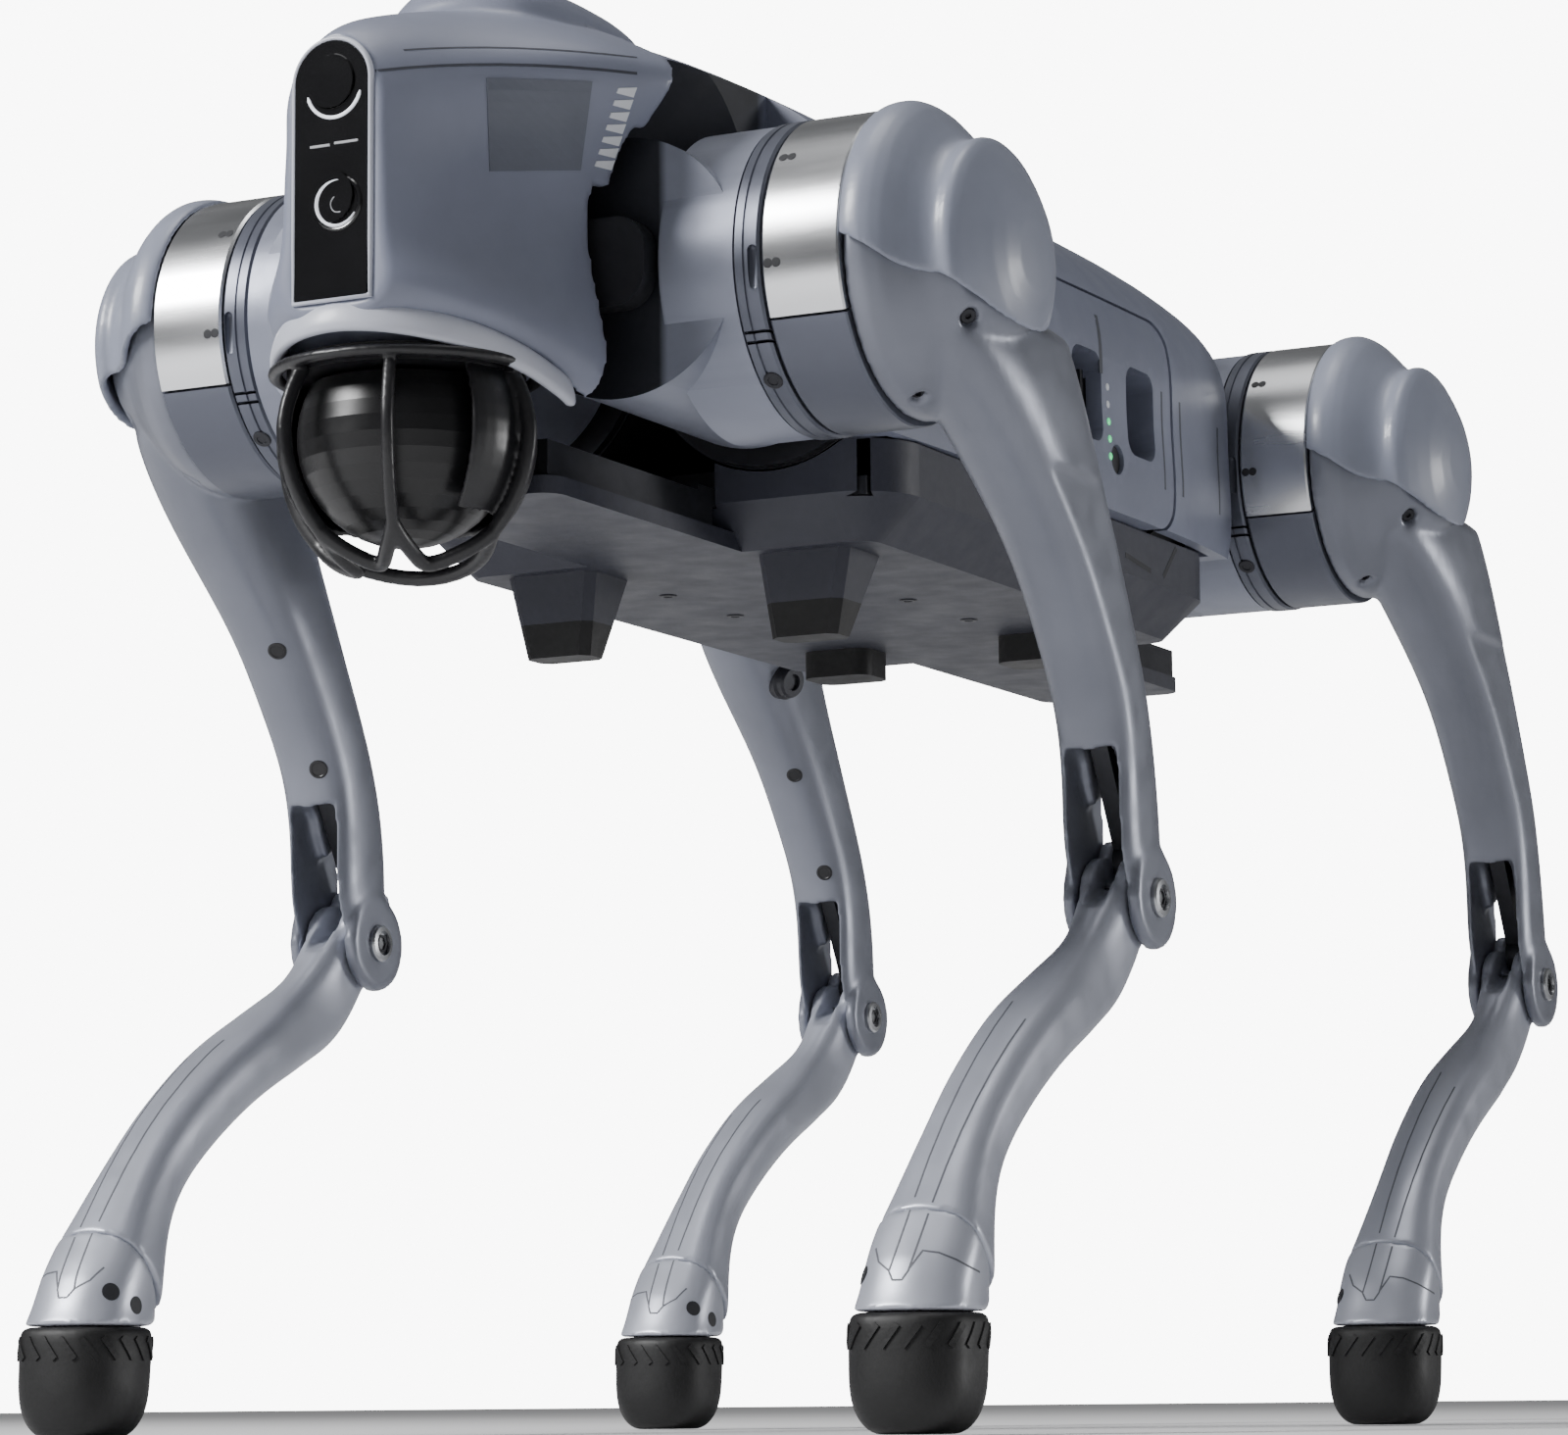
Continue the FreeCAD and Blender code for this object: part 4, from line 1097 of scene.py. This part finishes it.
def make_charge_lights():
    """Column of charge lights on the battery's outer face."""
    surface = Surface(frame["nodes"]["battery"], TRUNK_SPACE)
    dome = ((-0.6, 1.3), (0.15, 1.3), (0.35, 0.9), (0.4, 0.0))
    for number in range(5):
        z = 5.0 - 6.2 * number
        lamp = disc_on("charge_light_%d" % number, surface, (97.5, 22, z), (900, 22, z), dome)
        fit(shade(dress(lamp, GREEN_GLOW if number > 1 else WHITE_MARK)), "battery")


def make_side_lines():
    """Grooves on the sides of the shell and creases on the belly."""
    shell = Surface(frame["nodes"]["back_shell"], TRUNK_SPACE)
    belly = Surface(frame["nodes"]["belly_cover"], TRUNK_SPACE)
    grooves = (((96, 86, 11), (96, 86, -24)), ((96, 127.5, 9), (96, 126, -24)))
    creases = (((93, 99, -40), (90, 86.5, -52.5)), ((90, 52, -49.5), (90, 75, -52)))
    for hand, side in SIDES:
        eye = Vector((900 * side, 60, -40))
        for number, path in enumerate(grooves):
            line = line_on("line", shell, mirrored(path, side), eye, 1.6, 0.05)
            ride_trunk(line, "side_groove_%s_%d" % (hand, number), SHELL_SEAM)
        for number, path in enumerate(creases):
            line = line_on("line", belly, mirrored(path, side), eye, 1.9, 0.1)
            ride_trunk(line, "belly_crease_%s_%d" % (hand, number), SEAM)


def trunk_screw(name, found):
    screw = turned("screw", SCREW, found[0], found[1], TRUNK_SPACE, 18)
    ride_trunk(shade(screw), name, DARK_METAL)


def make_back_lines():
    """Seams along the back, and a service hatch behind with four screws and two ports."""
    shell = Surface(frame["nodes"]["back_shell"], TRUNK_SPACE)
    above, behind = Vector((0, 40, 900)), Vector((0, 1200, 10))
    end = 255
    seam = ((30, -120, 80), (34, -60, 80), (35, 20, 80), (34, 100, 80), (31, 180, 80), (27, 232, 80))
    for hand, side in SIDES:
        line = line_on("line", shell, mirrored(seam, side), above, 0.9, 0.06, 10)
        ride_trunk(line, "back_seam_" + hand, SHELL_SEAM)
    hatch = [(-34, -14), (34, -14), (34, 26), (26, 34), (-26, 34), (-34, 26), (-34, -14)]
    line = line_on("line", shell, [(x, end, z) for x, z in hatch], behind, 0.9, 0.06, 8)
    ride_trunk(line, "rear_hatch_seam", SHELL_SEAM)
    for number, (x, z) in enumerate(((-29, -9), (29, -9), (-26, 27), (26, 27))):
        trunk_screw("rear_screw_%d" % number, sight(shell, (x, end, z), behind))
    for number, x in enumerate((-9, 9)):
        corners = [(x - 5, end, 4), (x + 5, end, 4), (x + 5, end, 14), (x - 5, end, 14)]
        port = plate_on("port", shell, corners, behind, 0.5, 4)
        ride_trunk(port, "rear_port_%d" % number, BLACK)


def make_belly_screws():
    """Two rows of screws under the belly, left out where the cover has no skin for them."""
    belly = Surface(frame["nodes"]["belly_cover"], TRUNK_SPACE)
    number = 0
    for x in (-34, 34):
        for y in (-60, -10, 40, 90, 140):
            found = belly.hit((x, y, -300), (0, 0, 1))
            if found:
                trunk_screw("belly_screw_%d" % number, found)
                number += 1


make_head()
make_brow()
make_face_rim()
make_lens()
make_lamp()
make_guard()
make_battery_grooves()
make_side_lines()
make_charge_lights()
make_back_lines()
make_belly_screws()


# --- stage ---
def make_stage():
    material, nodes, links, shader = new_material("pale_floor")
    tone = two_tone(nodes, links, noise(nodes, links, 1.5, 2.0), (0.80, 0.80, 0.81), (0.84, 0.84, 0.85))
    links.new(tone, shader.inputs["Base Color"])
    shader.inputs["Roughness"].default_value = 0.8
    half = 30.0
    floor = mesh_object("floor", [(-half, -half, 0), (half, -half, 0), (half, half, 0), (-half, half, 0)],
                        [(0, 1, 2, 3)], Matrix.Identity(4))
    floor.location.z = -0.0004
    dress(floor, material)
    world = bpy.data.worlds.new("studio")
    world.use_nodes = True
    nodes, links = world.node_tree.nodes, world.node_tree.links
    soft = nodes["Background"]
    soft.inputs["Color"].default_value = (0.93, 0.94, 0.96, 1)
    soft.inputs["Strength"].default_value = 0.14
    bright = nodes.new("ShaderNodeBackground")
    bright.inputs["Color"].default_value = (1, 1, 1, 1)
    bright.inputs["Strength"].default_value = 9.0
    path = nodes.new("ShaderNodeLightPath")
    mix = nodes.new("ShaderNodeMixShader")
    links.new(path.outputs["Is Camera Ray"], mix.inputs[0])
    links.new(soft.outputs[0], mix.inputs[1])
    links.new(bright.outputs[0], mix.inputs[2])
    links.new(mix.outputs[0], nodes["World Output"].inputs["Surface"])
    bpy.context.scene.world = world


def place_light(name, lamp, place):
    holder = bpy.data.objects.new(name, lamp)
    holder.location = place
    bpy.context.scene.collection.objects.link(holder)
    return holder


def area_light(name, place, size, power):
    """Round soft light aimed at the robot."""
    lamp = bpy.data.lights.new(name, "AREA")
    lamp.shape = "DISK"
    lamp.size = size
    lamp.energy = power
    holder = place_light(name, lamp, place)
    holder.rotation_mode = "QUATERNION"
    holder.rotation_quaternion = (Vector((0, 0, 0.25)) - Vector(place)).to_track_quat("-Z", "Y")


def make_lights():
    area_light("key", (-1.75, -2.2, 2.1), 1.1, 138)
    area_light("rim", (2.5, 1.7, 0.45), 0.8, 22)
    area_light("top", (0.1, -0.1, 2.6), 1.2, 12)
    wash = bpy.data.lights.new("wash", "SUN")
    wash.energy = 0.5
    wash.angle = math.radians(50)
    place_light("wash", wash, (0, 0, 3))


# --- camera ---
YAW, PITCH, ROLL = (math.radians(a) for a in (27.1, 7.97, -0.49))
LENS = 112.76
SENSOR = 36.0


def make_camera():
    ahead = Vector((-math.sin(YAW) * math.cos(PITCH), math.cos(YAW) * math.cos(PITCH), math.sin(PITCH)))
    right = ahead.cross(Vector((0, 0, 1))).normalized()
    up = right.cross(ahead)
    right, up = (right * math.cos(ROLL) + up * math.sin(ROLL), up * math.cos(ROLL) - right * math.sin(ROLL))
    data = bpy.data.cameras.new("camera")
    data.lens = LENS
    data.sensor_width = SENSOR
    data.clip_start = 0.05
    data.clip_end = 100
    camera = bpy.data.objects.new("camera", data)
    turn = Matrix((right, up, -ahead)).transposed().to_4x4()
    camera.matrix_world = Matrix.Translation(TRUNK_SPACE @ CAMERA_AT) @ turn
    bpy.context.scene.collection.objects.link(camera)
    bpy.context.scene.camera = camera


make_stage()
make_lights()
make_camera()
